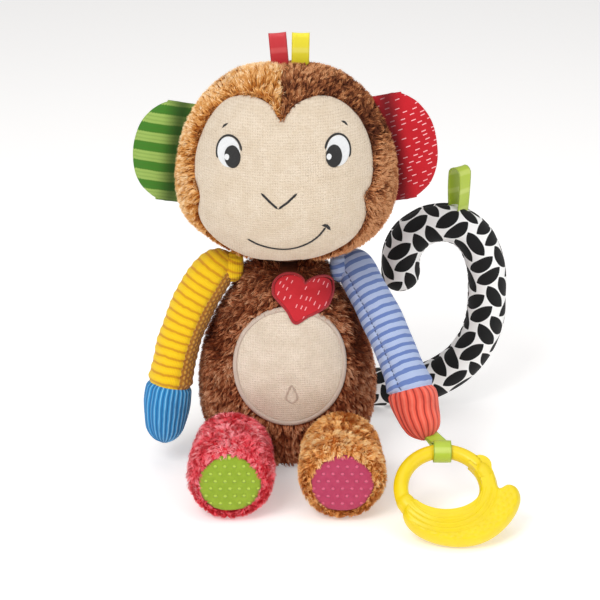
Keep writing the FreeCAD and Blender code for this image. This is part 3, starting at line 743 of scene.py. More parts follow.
class Front:
    """The front of a body, on which patches and stitches lie. Places are X and Z in millimetres."""

    def __init__(self, tree, to_world, cover=0.0, top=1000.0):
        self.top = top
        self.tree = tree
        self.to_world = to_world
        self.forward = to_world.to_3x3() @ Vector((0, 1, 0))
        self.cover = cover

    def at(self, x, z, off=0.0):
        """The point over a place, off metres out from the surface."""
        if z > self.top:
            step = self.to_world.to_3x3() @ Vector((0, 0.42, 0.9))
            return self.at(x, self.top, off) + step * ((z - self.top) * MM)
        start = self.to_world @ Vector((x * MM, -FAR, z * MM))
        hit, normal, _, _ = self.tree.ray_cast(start, self.forward, FAR * 1.5)
        if hit is None:
            return start + self.forward * FAR
        if normal.dot(self.forward) > 0:
            normal = -normal
        return hit + normal * (off + self.cover)


def heart_points(half):
    """A heart in its own X and Z: two round lobes and a point."""
    lobe = half * 0.53
    middle = half - lobe
    points = []
    for a in np.radians(np.linspace(150, -40, 13)):
        points.append((middle + lobe * math.cos(a), half * 0.24 + lobe * math.sin(a)))
    points.append((half * 0.36, -half * 0.42))
    right = [(x, z) for x, z in points if x > 0.3]
    notch = (0, half * 0.24 + math.sqrt(lobe * lobe - middle * middle))
    left = [(-x, z) for x, z in reversed(right)]
    return [notch] + right + [(0, -half * 0.72)] + left


PATCH_RINGS = [1.0, 0.995, 0.985, 0.965, 0.93, 0.89] + [0.84 - 0.06 * k for k in range(14)]


def patch(name, outline, centre, front, lift, tuck=1.2 * MM, fine=None):
    """A sewn-on panel: rings of its outline laid on the surface, tucked under at the edge."""
    grid = []
    coords = []
    for share in PATCH_RINGS:
        rise = lift - (lift + tuck) * math.exp(-(1 - share) * 60)
        row = []
        marks = []
        for x, z in outline.points:
            px = centre[0] + (x - centre[0]) * share
            pz = centre[1] + (z - centre[1]) * share
            extra = fine(px, pz) if fine else 0.0
            row.append(list(front.at(px, pz, rise + extra)))
            marks.append((px, pz, share))
        grid.append(row)
        coords.append(marks)
    made = grid_object(name, np.array(grid), closed=(False, True), pat=np.array(coords))
    face_camera(made, front)
    return made


def face_camera(piece, front):
    """Turn an open patch so that its faces look out of the body."""
    mesh = piece.data
    total = sum((p.normal * p.area for p in mesh.polygons), Vector())
    if total.dot(front.forward) > 0:
        mesh.flip_normals()


def stitched_line(name, places, front, width, height, pitch, closed=False, taper=True, slant=0.5):
    """A raised line of stitches on a surface: a flat cord whose sides swell at every stitch."""
    line = np.array([list(front.at(x, z)) for x, z in places])
    steps = np.linalg.norm(np.diff(line, axis=0), axis=1)
    total = steps.sum()
    count = max(int(total / (pitch / 5)), 12)
    line = evenly(line, count)
    out = []
    for p in line:
        _, normal, _, _ = front.tree.find_nearest(Vector(p))
        out.append(list(-normal if normal.dot(front.forward) > 0 else normal))
    out = unit(np.array(out))
    ahead = unit(np.gradient(line, axis=0))
    side = unit(np.cross(ahead, out))
    along = np.linspace(0, total, count)
    sides = 8
    grid = np.zeros((count, sides, 3))
    for k in range(sides):
        a = 2 * math.pi * k / sides
        beat = 0.78 + 0.22 * np.abs(np.sin(math.pi * (along / pitch + slant * math.sin(a))))
        end = np.clip(np.minimum(along, total - along) / width, 0.15, 1) if taper and not closed else 1
        grid[:, k] = (
            line + side * (math.cos(a) * width / 2 * beat * end)[:, None]
            + out * (math.sin(a) * height * beat * end + height * 0.3)[:, None]
        )
    coords = np.zeros((count, sides, 3))
    coords[:, :, 0] = (along / MM)[:, None]
    coords[:, :, 1] = np.arange(sides)[None] * width / MM / 3
    return grid_object(name, grid, pat=coords)


def thread(name, colour, sheen=0.15, roughness=0.55):
    """Satin embroidery thread, with its strands across the stitch line."""
    look = Look(name, screen(*colour), roughness=roughness, sheen=sheen, specular=0.45)
    _, parts = look.pattern()
    strand = look.wave(parts[0], 0.5)
    dark = tuple(c * 0.62 for c in screen(*colour))
    look.colour(look.mix(strand, dark, screen(*colour)))
    look.bump(strand, 0.25)
    return look.material


# ---- shared shapes -------------------------------------------------------------------------------
def sunk(grid, depth):
    """A grid moved inward by a depth in metres, or outward if it is negative."""
    return grid - grid_normals(grid) * depth


def healed(grid, bad):
    """Points marked bad are put on a line between the nearest good ones of their row."""
    rows, cols = grid.shape[:2]
    where = np.arange(cols)
    for i in range(rows):
        good = np.nonzero(~bad[i])[0]
        if len(good) == cols or len(good) < 3:
            continue
        for k in range(3):
            grid[i, :, k] = np.interp(where, good, grid[i, good, k], period=cols)
    return grid


def along_across(grid):
    """Distances in millimetres along the rows and round the columns of a grid."""
    steps = np.linalg.norm(np.diff(grid, axis=0), axis=2).mean(axis=1)
    along = np.concatenate([[0], np.cumsum(steps)]) / MM
    round_steps = np.linalg.norm(grid - np.roll(grid, 1, axis=1), axis=2)
    girth = np.cumsum(round_steps, axis=1) / MM
    girth = np.broadcast_to(girth[len(grid) // 2], girth.shape)
    return np.broadcast_to(along[:, None], girth.shape), girth


def ring_distance(count, place):
    """How far each column is from a place on the ring, in columns."""
    gap = np.abs(np.arange(count) - place)
    return np.minimum(gap, count - gap)


def finish_piece(piece, body, nodes, material):
    """Give a stuffed piece its material, body and the CAD nodes it stands for."""
    piece.data.materials.clear()
    piece.data.materials.append(material)
    if body:
        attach(piece, body)
    if nodes:
        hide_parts(*nodes)
    return piece


# ---- fabric materials ----------------------------------------------------------------------------
def corduroy_yellow():
    """Bright yellow ribs across the sleeve with thin mustard furrows, which also carry painted shade, and a
    painted highlight on the crests.
    """
    look = Look("corduroy_yellow", screen(243, 203, 21), roughness=0.85, sheen=0.12)
    vector, parts = look.pattern()
    drift = look.times(look.noise(vector, 9.0), 1.6)
    rib = look.wave(look.plus(parts[0], drift), 5.65)
    # the furrows: a mustard line of the cloth, darkened further as painted shade in each rib's hollow
    share = look.step(rib, 0.0, 0.34)
    base = look.mix(share, screen(216, 152, 10), screen(246, 202, 2))
    # painted highlight along each rib's crest
    painted_crest_highlight = look.step(rib, 0.55, 1.0)
    base = look.mix(look.times(painted_crest_highlight, 0.5), base, screen(252, 216, 30))
    cord = look.wave(parts[1], 1.1)
    base = look.mix(look.times(cord, 0.16), base, screen(206, 146, 12))
    look.colour(base)
    look.bump(cord, 0.18)
    look.bump(look.noise(vector, 0.7), 0.12)
    return look.material


def minky(name, dark, light, pitch, size, groove=0.5):
    """Soft cloth with rows of raised round dots."""
    look = Look(name, screen(*light), roughness=0.85, sheen=0.15)
    vector, parts = look.pattern()
    row = look.math("FLOOR", look.math("DIVIDE", parts[1], pitch * 0.87))
    odd = look.math("MODULO", look.size(row), 2.0)
    shift = look.math("MULTIPLY_ADD", odd, pitch / 2, parts[0])
    u = look.minus(look.math("FRACT", look.math("DIVIDE", shift, pitch)), 0.5)
    v = look.minus(look.math("FRACT", look.math("DIVIDE", parts[1], pitch * 0.87)), 0.5)
    far = look.math("SQRT", look.plus(look.times(u, u), look.times(v, v)))
    dot = look.minus(1.0, look.step(far, size * 0.55, size))
    base = look.mix(look.noise(vector, 4.0), screen(*dark), screen(*light))
    base = look.mix(look.times(dot, 0.75), base, screen(*(min(255, c + 26) for c in light)))
    ring = look.times(look.step(far, size * 0.7, size * 1.1), groove)
    look.colour(look.mix(ring, base, screen(*dark)))
    look.bump(dot, 0.7)
    look.bump(look.noise(vector, 0.6), 0.15)
    return look.material


def corduroy(name, dark, middle, light, pitch, groove, crest):
    """Fine ribs that run along the first pattern coordinate's direction."""
    look = Look(name, screen(*middle), roughness=0.9, sheen=0.12)
    vector, parts = look.pattern()
    drift = look.times(look.noise(vector, 7.0), 0.8)
    rib = look.wave(look.plus(parts[1], drift), pitch)
    # painted shade in the furrows between the ribs
    base = look.mix(look.step(rib, 0.0, groove), screen(*dark), screen(*middle))
    # painted highlight on the crests, which on the blue mitten also gives its pale lines
    base = look.mix(look.step(rib, crest, 1.0), base, screen(*light))
    tone = look.noise(vector, 12.0)
    base = look.mix(look.times(look.step(tone, 0.45, 0.8), 0.35), base, screen(*dark))
    look.colour(base)
    look.bump(rib, 0.4)
    cross = look.wave(parts[0], 0.8)
    look.bump(cross, 0.12)
    look.bump(look.noise(vector, 0.5), 0.15)
    return look.material


def jersey_striped():
    """Pale blue knit with medium blue cross stripes."""
    look = Look("jersey_blue_striped", screen(168, 184, 220), roughness=0.9, sheen=0.1)
    vector, parts = look.pattern()
    drift = look.times(look.noise(vector, 10.0), 1.4)
    stripe = look.step(look.wave(look.plus(parts[0], drift), 5.7), 0.54, 0.68)
    base = look.mix(stripe, screen(181, 197, 231), screen(106, 130, 190))
    stitch = look.wave(look.plus(parts[1], look.times(parts[0], 0.6)), 0.9)
    base = look.mix(look.times(stitch, 0.14), base, screen(84, 104, 160))
    seam = look.math("LESS_THAN", parts[2], 0.55)
    tight = look.times(seam, look.step(look.wave(parts[0], 2.9), 0.2, 0.4))
    look.colour(look.mix(look.times(tight, 0.8), base, screen(58, 72, 112)))
    look.bump(stitch, 0.14)
    look.bump(look.wave(parts[0], 0.8), 0.1)
    return look.material


def cotton_red_dashed():
    """Red cotton with short white dashes in loose rows, shaded where the ear leaves the head."""
    look = Look("cotton_red_dashed", screen(199, 36, 46), roughness=0.85, sheen=0.06)
    _, parts = look.pattern()
    x, y = look.rotated(parts, 12)
    dash = look.dashes(x, y, 3.0, 6.6, (3.0, 5.0, 8.0), 0.45, 0.22, 0.1, 0.22)
    base = look.mix(look.noise(look.place(), 8.0), screen(180, 16, 30), screen(196, 26, 38))
    base = look.mix(dash, base, screen(246, 178, 182))
    root = look.minus(1.0, look.step(look.size(parts[0]), 0.0, 11.0))
    look.colour(look.mix(look.times(root, 0.8), base, screen(84, 6, 14)))
    look.weave(parts[0], parts[1], 0.7, 0.06)
    return look.material


def cotton_striped():
    """Green cotton with broad, wavy dark and pale cross stripes."""
    look = Look("cotton_green_striped", screen(150, 190, 70), roughness=0.85, sheen=0.06)
    vector, parts = look.pattern()
    drift = look.times(look.minus(look.noise(vector, 14.0), 0.5), 1.0)
    slope = look.times(parts[0], -0.01)
    height = look.plus(look.plus(parts[1], slope), drift)
    saw = look.times(look.wave(parts[0], 1.7), 0.5)
    line = look.wave(look.plus(height, saw), 12.0)
    base = look.mix(look.step(line, 0.5, 0.56), screen(150, 178, 88), screen(62, 120, 32))
    thin = look.step(look.wave(look.plus(height, saw), 2.4), 0.6, 0.8)
    base = look.mix(look.times(thin, 0.28), base, screen(74, 108, 30))
    zigzag = look.math("MULTIPLY_ADD", look.wave(parts[1], 1.6), 0.7, 0.5)
    hem = look.math("LESS_THAN", parts[2], zigzag)
    # painted shade where the ear leaves the head
    root = look.minus(1.0, look.step(look.size(parts[0]), 0.0, 13.0))
    base = look.mix(look.times(root, 0.8), base, screen(30, 58, 14))
    look.colour(look.mix(hem, base, screen(128, 132, 118)))
    look.weave(parts[0], parts[1], 0.8, 0.08)
    return look.material


def plain_cotton(name, dark, light, pitch=0.8):
    """Plain woven cotton."""
    look = Look(name, screen(*light), roughness=0.85, sheen=0.06)
    vector, parts = look.place_parts()
    base = look.mix(look.noise(vector, 7.0), screen(*dark), screen(*light))
    look.colour(base)
    look.weave(look.plus(parts[0], parts[1]), parts[2], pitch, 0.08)
    return look.material


def velour(name, dark, middle, light):
    """Short cream velour with a fine linen-like grid and soft mottling."""
    look = Look(name, screen(*middle), roughness=0.95, sheen=0.12)
    vector, parts = look.place_parts()
    drift = look.times(look.noise(vector, 3.0), 1.2)
    grid = look.times(*(look.wave(look.plus(parts[k], drift), 1.5) for k in (0, 2)))
    base = look.mix(look.noise(vector, 9.0, 3.0), screen(*dark), screen(*light))
    base = look.mix(look.times(grid, 0.4), base, screen(*dark))
    base = look.mix(look.times(look.step(look.noise(vector, 1.3), 0.4, 0.8), 0.6), base, screen(*dark))
    look.colour(base)
    look.bump(grid, 0.3)
    look.bump(look.noise(vector, 1.0), 0.35)
    return look.material


def leaf_print():
    """White cotton with black leaves in a basket weave, laid on a slant."""
    look = Look("cotton_leaf_print", (0.9, 0.9, 0.9), roughness=0.85, sheen=0.06)
    _, parts = look.pattern()
    x, y = look.rotated(parts, 35)
    cell = 20.0
    cell_x, cell_y = (look.math("FLOOR", look.math("DIVIDE", part, cell)) for part in (x, y))
    odd = look.math("MODULO", look.size(look.plus(cell_x, cell_y)), 2.0)
    u = look.within(x, cell)
    v = look.within(y, cell)
    swap = look.minus(v, u)
    along = look.math("MULTIPLY_ADD", odd, swap, u)
    across = look.math("MULTIPLY_ADD", odd, look.times(swap, -1.0), v)
    a = look.minus(along, 0.5)
    b = look.minus(look.math("FRACT", look.times(across, 2.0)), 0.5)
    bend = look.math("MULTIPLY_ADD", look.times(a, a), 0.35, -0.03)
    b = look.size(look.minus(b, bend))
    narrowing = look.math("POWER", look.size(look.times(a, 1.96)), 2.6)
    taper = look.minus(1.0, narrowing)
    edge = look.minus(look.times(taper, 0.455), b)
    leaf = look.step(edge, -0.012, 0.012)
    look.colour(look.mix(leaf, screen(246, 246, 245), screen(19, 19, 20)))
    look.weave(parts[0], parts[1], 0.7, 0.05)
    return look.material


def satin(name, dark, middle, light):
    """Shiny satin ribbon with fine cross threads, firm edges and painted highlight bands along its length."""
    look = Look(name, screen(*middle), roughness=0.34, sheen=0.1, specular=0.5)
    _, parts = look.pattern()
    cross = look.wave(parts[0], 0.55)
    base = look.mix(look.times(cross, 0.25), screen(*middle), screen(*dark))
    # painted highlight: a light band every 13 mm along the ribbon
    painted_highlight_band = look.step(look.wave(parts[0], 13.0), 0.7, 1.0)
    base = look.mix(look.times(painted_highlight_band, 0.3), base, screen(*light))
    edge = look.step(look.size(parts[1]), 4.6, 5.1)
    look.colour(look.mix(look.times(edge, 0.4), base, screen(*dark)))
    look.bump(cross, 0.05)
    return look.material


def moulded(name, dark, middle):
    """Soft moulded plastic."""
    look = Look(name, screen(*middle), roughness=0.38, specular=0.5)
    vector = look.place()
    look.colour(look.mix(look.noise(vector, 12.0), screen(*dark), screen(*middle)))
    look.bump(look.noise(vector, 1.2), 0.03)
    return look.material


# ---- body grids, taken before the one cloth simulation -------------------------------------------
make_camera()
make_studio()

QUEUE = {}


def queue_body(name, grid, pinned, pressure, cap):
    """Queue a coarse grid for the cloth simulation under a name."""
    QUEUE[name] = inflate_later(name, grid, pinned, pressure, cap)


def pinned_rows(grid, rows):
    """A mask that pins whole rows."""
    mask = np.zeros(grid.shape[:2], bool)
    mask[list(rows)] = True
    return mask


def local(grid, to_world):
    """Grid points in another frame, in millimetres."""
    inverse = np.array(to_world.inverted())
    flat = grid.reshape(-1, 3)
    moved = flat @ inverse[:3, :3].T + inverse[:3, 3]
    return moved.reshape(grid.shape) / MM


FACE = Outline([
    (-3, 31.5), (-10, 40.5), (-22, 45), (-35.5, 42.8), (-45.5, 33.8), (-52, 22), (-56, 8.5),
    (-56.3, -5), (-53.2, -16), (-54.5, -27), (-50.5, -38.6), (-40, -50), (-24, -57), (-4, -59.5),
    (14.7, -57.5), (31, -51), (43.5, -41), (49.3, -28), (48.4, -16), (52.8, -7), (53.5, 7),
    (50.8, 20), (44, 32.6), (33, 42), (20, 45.2), (6, 40.5),
])
EARS = {
    "green": (-1, Vector((-73.5, 5, -28)), Vector((-64.5, 5, 37))),
    "red": (1, Vector((73.0, 5, -27)), Vector((62.0, 5, 42))),
}
LEGS = {"pink": -34.5, "caramel": 34.5}
LEG_TURN = Matrix.Rotation(math.radians(90), 4, "X")


def hip(side):
    """A frame at the hip, with the world's axes."""
    return Matrix.Translation(Vector((side, HIP_Y, HIP_Z)) * MM)


def leg_frame(side):
    """A frame at the hip whose Z points to the sole."""
    return hip(side) @ LEG_TURN


def ear_frame(colour):
    """A frame on the ear's hinge line: X outward, Z up the hinge."""
    side, low, high = EARS[colour]
    line = (high - low).normalized()
    outward = Vector((side, 0, 0))
    outward = (outward - line * outward.dot(line)).normalized()
    across = line.cross(outward)
    turn = Matrix((outward, across, line)).transposed().to_4x4()
    return HEAD_FRAME @ Matrix.Translation((low + high) * 0.5 * MM) @ turn, (high - low).length / 2


def torso_grid():
    """The coarse torso skin."""
    grid = polar_grid(tree_of("torso_stuffing"), capped_rows(1.6 * MM, 132.6 * MM, 26), 40, Matrix())
    p = local(grid, Matrix())
    pocket = (np.hypot(p[..., 1] + 2, p[..., 2] - 129) < 16) & (np.abs(p[..., 0]) > 20)
    lower = (np.abs(p[..., 0]) > 20) & (p[..., 2] > 108) & (np.abs(p[..., 1] + 2) < 15)
    return sunk(grid, 0.6 * MM), pocket | lower


def head_grid():
    """The coarse head skin, with the ear grooves closed."""
    rows = capped_rows(-57.5 * MM, 60.3 * MM, 28)
    grid = polar_grid(tree_of("head_stuffing"), rows, 44, HEAD_FRAME)
    p = local(grid, HEAD_FRAME)
    bad = np.zeros(grid.shape[:2], bool)
    for _, low, high in EARS.values():
        t = (p[..., 2] - low.z) / (high.z - low.z)
        x = low.x + (high.x - low.x) * t
        bad |= (np.hypot(p[..., 0] - x, p[..., 1] - 5) < 11) & (t > -0.12) & (t < 1.12)
    return sunk(healed(grid, bad), 0.6 * MM)


def leg_grid(name, side):
    """The coarse skin of one leg."""
    rows = capped_rows(-22.2 * MM, 42.6 * MM, 20)
    grid = polar_grid(tree_of(name + "_leg_stuffing"), rows, 32, leg_frame(side))
    return sunk(grid, 0.4 * MM)


def arm_grid(name, joint, lowest):
    """The coarse skin of one arm."""
    tree = tree_of(name + "_arm_stuffing")
    start, _ = joint_place(joint)
    spine = spine_of(tree, start, lowest, 26)
    return tube_grid(spine, 28, (0, -1, 0), hit_radius(tree, 26 * MM))


def ear_grid(colour):
    """The coarse skin of one ear: sections across the hinge line, its root pushed into the head."""
    frame_of, half = ear_frame(colour)
    rows = []
    for t in [-0.995, -0.97] + list(np.linspace(-0.92, 0.92, 15)) + [0.97, 0.995]:
        z = t * half * 0.97 + 0.8
        reach = 28.0 * (1 - abs(t) ** 2.2) ** (1 / 2.2)
        thick = 4.6 * (1 - abs(t) ** 3.0) ** 0.5 + 0.25
        row = []
        for j in range(36):
            a = 2 * math.pi * j / 36
            c, s = math.cos(a), math.sin(a)
            x = 10 + (reach - 10) * c if c > 0 else 10 + (17 + 9 * t * t) * c
            y = thick * math.copysign(abs(s) ** 0.75, s)
            row.append(list(frame_of @ (Vector((x, y, z)) * MM)))
        rows.append(row)
    return np.array(rows)


def tail_spine():
    """The middle line of the tail, from its root round the crook to the tip, in millimetres."""
    line = [(x, 14.0) for x in np.linspace(12, 72, 11)]
    line += [(75 + 61.5 * math.sin(a), 75.5 - 61.5 * math.cos(a)) for a in np.radians(np.arange(0, 91, 6))]
    line += [(136.5, 84.0), (136.5, 92.0)]
    line += [(76.5 + 60 * math.cos(a), 92 + 60 * math.sin(a)) for a in np.radians(np.arange(5, 31, 5))]
    turn = math.radians(30)
    cx = 76.5 + 32.5 * math.cos(turn)
    cz = 92 + 32.5 * math.sin(turn)
    line += [(cx + 27.5 * math.cos(a), cz + 27.5 * math.sin(a)) for a in np.radians(np.arange(40, 181, 10))]
    line += [(line[-1][0], line[-1][1] - 4), (line[-1][0], line[-1][1] - 8)]
    return evenly(np.array([(x * MM, 63.5 * MM, z * MM) for x, z in line]), 84)


SEAMS = {"yellow": (10, 26), "striped": (2, 18)}     # columns of the two sleeve seams


def queue_all():
    """Coarse grids of every stuffed body."""
    torso, pockets = torso_grid()
    pins = pinned_rows(torso, (0, 1, 2, 3, 4, 5, -5, -4, -3, -2, -1)) | pockets
    queue_body("torso", torso, pins, 40, 2.0 * MM)
    head = head_grid()
    p = local(head, HEAD_FRAME)
    flat = p.reshape(-1, 3)
    seam = (FACE.gap(flat[:, 0], flat[:, 2]) < 4).reshape(head.shape[:2]) & (p[..., 1] < 0)
    seam |= (np.abs(p[..., 0] + 3) < 4) & (p[..., 2] > 30) & (p[..., 1] < 0)
    queue_body("head", head, pinned_rows(head, (0, 1, 2, -3, -2, -1)) | seam, 40, 2.0 * MM)
    for name, side in LEGS.items():
        grid = leg_grid(name, side)
        queue_body(name + "_leg", grid, pinned_rows(grid, (0, 1, 2, 3, -4, -3, -2, -1)), 60, 1.4 * MM)
    for name, lowest in (("yellow", 30 * MM), ("striped", 51.5 * MM)):
        grid = arm_grid(name, name + "_arm_raise", lowest)
        wrist = np.abs(grid.mean(axis=1)[:, 2] / MM - WRISTS[name])
        pins = pinned_rows(grid, (0, 1, 2, 3, -2, -1))
        pins[int(np.argmin(wrist))] = True
        for seam in SEAMS[name]:
            pins[:, seam] = True
        queue_body(name + "_arm", grid, pins, 80, 1.0 * MM)
    for colour in EARS:
        grid = ear_grid(colour)
        pins = pinned_rows(grid, (0, 1, -2, -1))
        pins[:, [0, 35, 1]] = True
        pins[:, 12:25] = True
        queue_body(colour + "_ear", grid, pins, 40, 1.4 * MM)
    spine = tail_spine()
    grid = tube_grid(spine, 24, (0, -1, 0), lambda centre, way: 13.3 * MM)
    pins = pinned_rows(grid, (0, 1, -1))
    pins[:, [6, 18]] = True
    queue_body("tail", grid, pins, 80, 0.7 * MM)


queue_all()
blown = run_cloth()
skins = {name: blown[i] for name, i in QUEUE.items()}


def strip(grid, first, last):
    """The columns of a closed grid from first to last, going round past the end if need be."""
    return grid[:, [k % grid.shape[1] for k in range(first, last + 1)]]


def open_piece(name, grid, pat, first, last, rows=(None, None), closed=(False, False), girth=0.0):
    """A panel cut from a closed grid. girth is how much the pattern's second value grows in a round."""
    cut = slice(*rows)
    marks = strip(pat, first, last).copy()
    marks[..., 1] += np.floor(np.arange(first, last + 1) / grid.shape[1]) * girth
    return grid_object(name, strip(grid, first, last)[cut], wrap=False, closed=closed, pat=marks[cut])


def add_relief(grid, height):
    """A grid with a height in millimetres added along its normals."""
    return grid + grid_normals(grid) * (height * MM)[..., None]


def noise_on(grid, size, salt):
    """Soft noise from -1 to 1 over a grid; size in millimetres."""
    flat = soft_noise(grid.reshape(-1, 3), size * MM, salt) * 2 - 1
    return flat.reshape(grid.shape[:2])


def dip(distance, width):
    """A smooth furrow profile: 1 in the middle and 0 beyond the width."""
    return np.exp(-(distance / width) ** 2)


# ---- torso ---------------------------------------------------------------------------------------
BROWN = [(84, 30, 12), (124, 56, 26), (158, 88, 54), (184, 112, 74), (204, 138, 98), (222, 168, 130)]
# the brown pile darkened as painted shade, for the right front of the head
BROWN_SHADED = [(66, 24, 8), (92, 44, 22), (122, 68, 40), (156, 92, 54), (188, 122, 76), (214, 156, 110)]
CARAMEL = [(150, 74, 18), (184, 108, 38), (208, 138, 66), (226, 164, 92), (240, 188, 122), (250, 216, 168)]
PINK = [(218, 48, 62), (240, 74, 88), (252, 98, 110), (255, 122, 132), (255, 148, 156), (255, 178, 182)]
TAN = [(186, 104, 40), (216, 138, 62), (236, 164, 88), (247, 186, 112), (253, 206, 138), (255, 224, 170)]

torso_skin = refined(skins["torso"], 3, 3)
p = local(torso_skin, Matrix())
front_side = p[..., 1] < 0
relief = noise_on(torso_skin, 16, 3) * 0.7
for x in (-46.5, 46.5):
    relief -= 3.2 * dip(np.hypot(p[..., 0] - x, (p[..., 2] - 86) * 0.8), 6.5) * front_side
relief -= 0.8 * dip(p[..., 2] - 4.5, 1.4)
torso_skin = add_relief(torso_skin, relief)
torso_tree = tree_from_grid(torso_skin)
CHEST_TOP = 122.0
chest = Front(torso_tree, Matrix(), 0.0, CHEST_TOP)

piece = grid_object("torso_cloth", torso_skin)
finish_piece(piece, "torso", ["torso_stuffing", "seat_panel"],
             backing("plush_brown_ground", (84, 40, 22), (120, 66, 42)))


def belly_share(x, z, grow=0.0):
    """Distance from the middle of the belly patch, 1 at its edge."""
    cx, cz, rx, rz = BELLY
    return np.hypot((x - cx) / (rx + grow), (z - cz) / (rz + grow))


def heart_place(points):
    """Heart outline points turned and moved to the chest."""
    cx, cz = HEART
    c, s = math.cos(math.radians(HEART_TURN)), math.sin(math.radians(HEART_TURN))
    return [(cx + x * c - z * s, cz + x * s + z * c) for x, z in points]


heart_line = Outline(heart_place(heart_points(HEART_HALF)), 6)


def torso_keep(points):
    """Pile grows everywhere but under the patches, in the shoulder pockets and under the seat."""
    x, y, z = (points / MM).T
    front = y < 0
    covered = front & (belly_share(x, z, 0.5) < 1)
    covered |= front & heart_line.inside(x, z)
    for side in (-1, 1):
        covered |= np.sqrt((x - side * 44) ** 2 + (y + 2) ** 2 + (z - 129) ** 2) < 14.5
        from_hip = (x - side * 34.5) ** 2 + (z - HIP_Z) ** 2
        covered |= (from_hip < 18 ** 2) & (y < -36)
    return ~covered & (z > 2.5)


def torso_lay(points, normals):
    """The pile lies down and a little outward."""
    way = np.zeros_like(points)
    way[:, 2] = -1
    way[:, 0] = 0.35 * np.sin(points[:, 0] / MM / 18)
    swirl = soft_noise(points, 22 * MM, 11) - 0.5
    way[:, 0] += swirl * 1.5
    return way


def torso_shade(points, clump):
    """Darker low down and a little at the top, with painted shade in the dimples and light streaks."""
    x, y, z = (points / MM).T
    tone = 0.47 + (clump - 0.5) * 0.8 + (soft_noise(points, 12 * MM, 5) - 0.5) * 0.5
    tone -= 0.22 * np.clip((45 - z) / 45, 0, 1)
    tone -= 0.1 * np.clip((z - 105) / 30, 0, 1)
    # painted shade in the two dimples on the front
    for side in (-46.5, 46.5):
        tone -= 0.6 * np.exp(-(((x - side) / 8) ** 2 + ((z - 84) / 12) ** 2)) * (y < 0)
    return tone


piece = fur("torso_pile", "torso", torso_skin, 62000, 4.0 * MM, torso_lay, torso_shade,
            fibre_tones("plush_brown", BROWN), torso_keep, 21)
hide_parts("torso_front_panel", "torso_back_panel")

# belly patch, its raised rim and the navel
angles = np.linspace(0, 2 * math.pi, 97)[:-1]
cx, cz, rx, rz = BELLY
wobble = 1 + 0.006 * np.sin(3 * angles + 1) + 0.004 * np.sin(7 * angles)
belly = Outline(list(zip(cx + rx * np.cos(angles) * wobble, cz + rz * np.sin(angles) * wobble)), 2)
piece = patch("belly_patch", belly, (cx, cz), chest, 1.6 * MM)
finish_piece(piece, "torso", ["belly_patch"],
             velour("velour_cream", (204, 186, 164), (224, 208, 190), (242, 228, 212)))
rim_line = [(cx + (rx - 0.5) * math.cos(a), cz + (rz - 0.5) * math.sin(a))
            for a in np.linspace(0, 2 * math.pi, 160)]
raised = Front(torso_tree, Matrix(), 1.2 * MM)
piece = stitched_line("belly_rim_stitch", rim_line, raised, 3.4 * MM, 1.0 * MM, 1.4 * MM, closed=True)
finish_piece(piece, "torso", ["belly_rim_stitch"], thread("thread_cream", (246, 224, 206)))
drop = Outline([(3.2, 66.6), (5.6, 62.0), (6.9, 58.2), (3.2, 54.8), (-0.3, 58.2), (0.8, 62.0)], 6).points
drop = [tuple(q) for q in drop] + [tuple(drop[0])]
piece = stitched_line("navel_stitch", drop, Front(torso_tree, Matrix(), 1.7 * MM), 1.0 * MM, 0.4 * MM,
                      0.8 * MM, closed=True)
finish_piece(piece, "torso", ["navel_stitch"],
             thread("thread_cream_navel", (232, 206, 186)))


def heart_cloth():
    """Red satin-like cotton with small slanting white flecks."""
    look = Look("cotton_heart", screen(201, 45, 54), roughness=0.6, sheen=0.08)
    vector, parts = look.pattern()
    x, y = look.rotated(parts, 62)
    fleck = look.dashes(x, y, 3.1, 5.2, (2.0, 9.0, 1.0), 0.5, 0.2, 0.09, 0.2)
    base = look.mix(look.noise(vector, 6.0), screen(186, 22, 34), screen(206, 34, 46))
    look.colour(look.mix(fleck, base, screen(246, 170, 176)))
    look.weave(parts[0], parts[1], 0.7, 0.06)
    return look.material


heart_in = Outline(heart_place(heart_points(HEART_HALF - 0.5)), 6)
piece = patch("heart_patch", heart_in, HEART, Front(torso_tree, Matrix(), 1.4 * MM, CHEST_TOP), 1.4 * MM)
finish_piece(piece, "torso", ["heart_patch"], heart_cloth())
edge = [tuple(q) for q in heart_line.points] + [tuple(heart_line.points[0])]
piece = stitched_line("heart_stitch_border", edge, Front(torso_tree, Matrix(), 2.0 * MM, CHEST_TOP),
                      1.9 * MM, 0.8 * MM, 0.9 * MM, closed=True)
finish_piece(piece, "torso", ["heart_stitch_border"], thread("thread_red", (206, 34, 46)))

# ---- head ----------------------------------------------------------------------------------------
head_skin = refined(skins["head"], 3, 3)
p = local(head_skin, HEAD_FRAME)
flat = p.reshape(-1, 3)
front_side = p[..., 1] < 0
relief = noise_on(head_skin, 18, 8) * 0.8
relief -= 1.3 * dip(p[..., 0] + 3, 1.8) * (front_side & (p[..., 2] > 28))
gap = FACE.gap(flat[:, 0], flat[:, 2]).reshape(p.shape[:2])
relief -= 0.4 * dip(gap, 1.8) * front_side
head_skin = add_relief(head_skin, relief)
head_tree = tree_from_grid(head_skin)
face = Front(head_tree, HEAD_FRAME)

piece = grid_object("head_cloth", head_skin)
finish_piece(piece, "head", ["head_stuffing"],
             backing("head_ground_brown", (84, 42, 24), (118, 70, 44)))
piece.data.materials.append(backing("head_ground_caramel", (150, 92, 44), (186, 126, 70)))
to_head = HEAD_FRAME.inverted()
for polygon in piece.data.polygons:
    q = (to_head @ polygon.center) / MM
    if q.x < -3 and q.y < 16:
        polygon.material_index = 1


def head_local(points):
    """Places on the head in its own frame, in millimetres."""
    return local(points[None], HEAD_FRAME)[0].T


def head_keep(region):
    """Where one of the three plush panels of the head has its pile."""
    def keep(points):
        x, y, z = head_local(points)
        behind = y > 15
        inside = FACE.inside(x, z) & (y < 0)
        deep = inside & (FACE.gap(x, z) > 0.8)
        mine = {"back": behind, "left": ~behind & (x < -3), "right": ~behind & (x >= -3)}[region]
        mouth = (np.hypot(x, y - 9) < 20) & (z < -50)
        return mine & ~deep & ~mouth & (z > -60)
    return keep


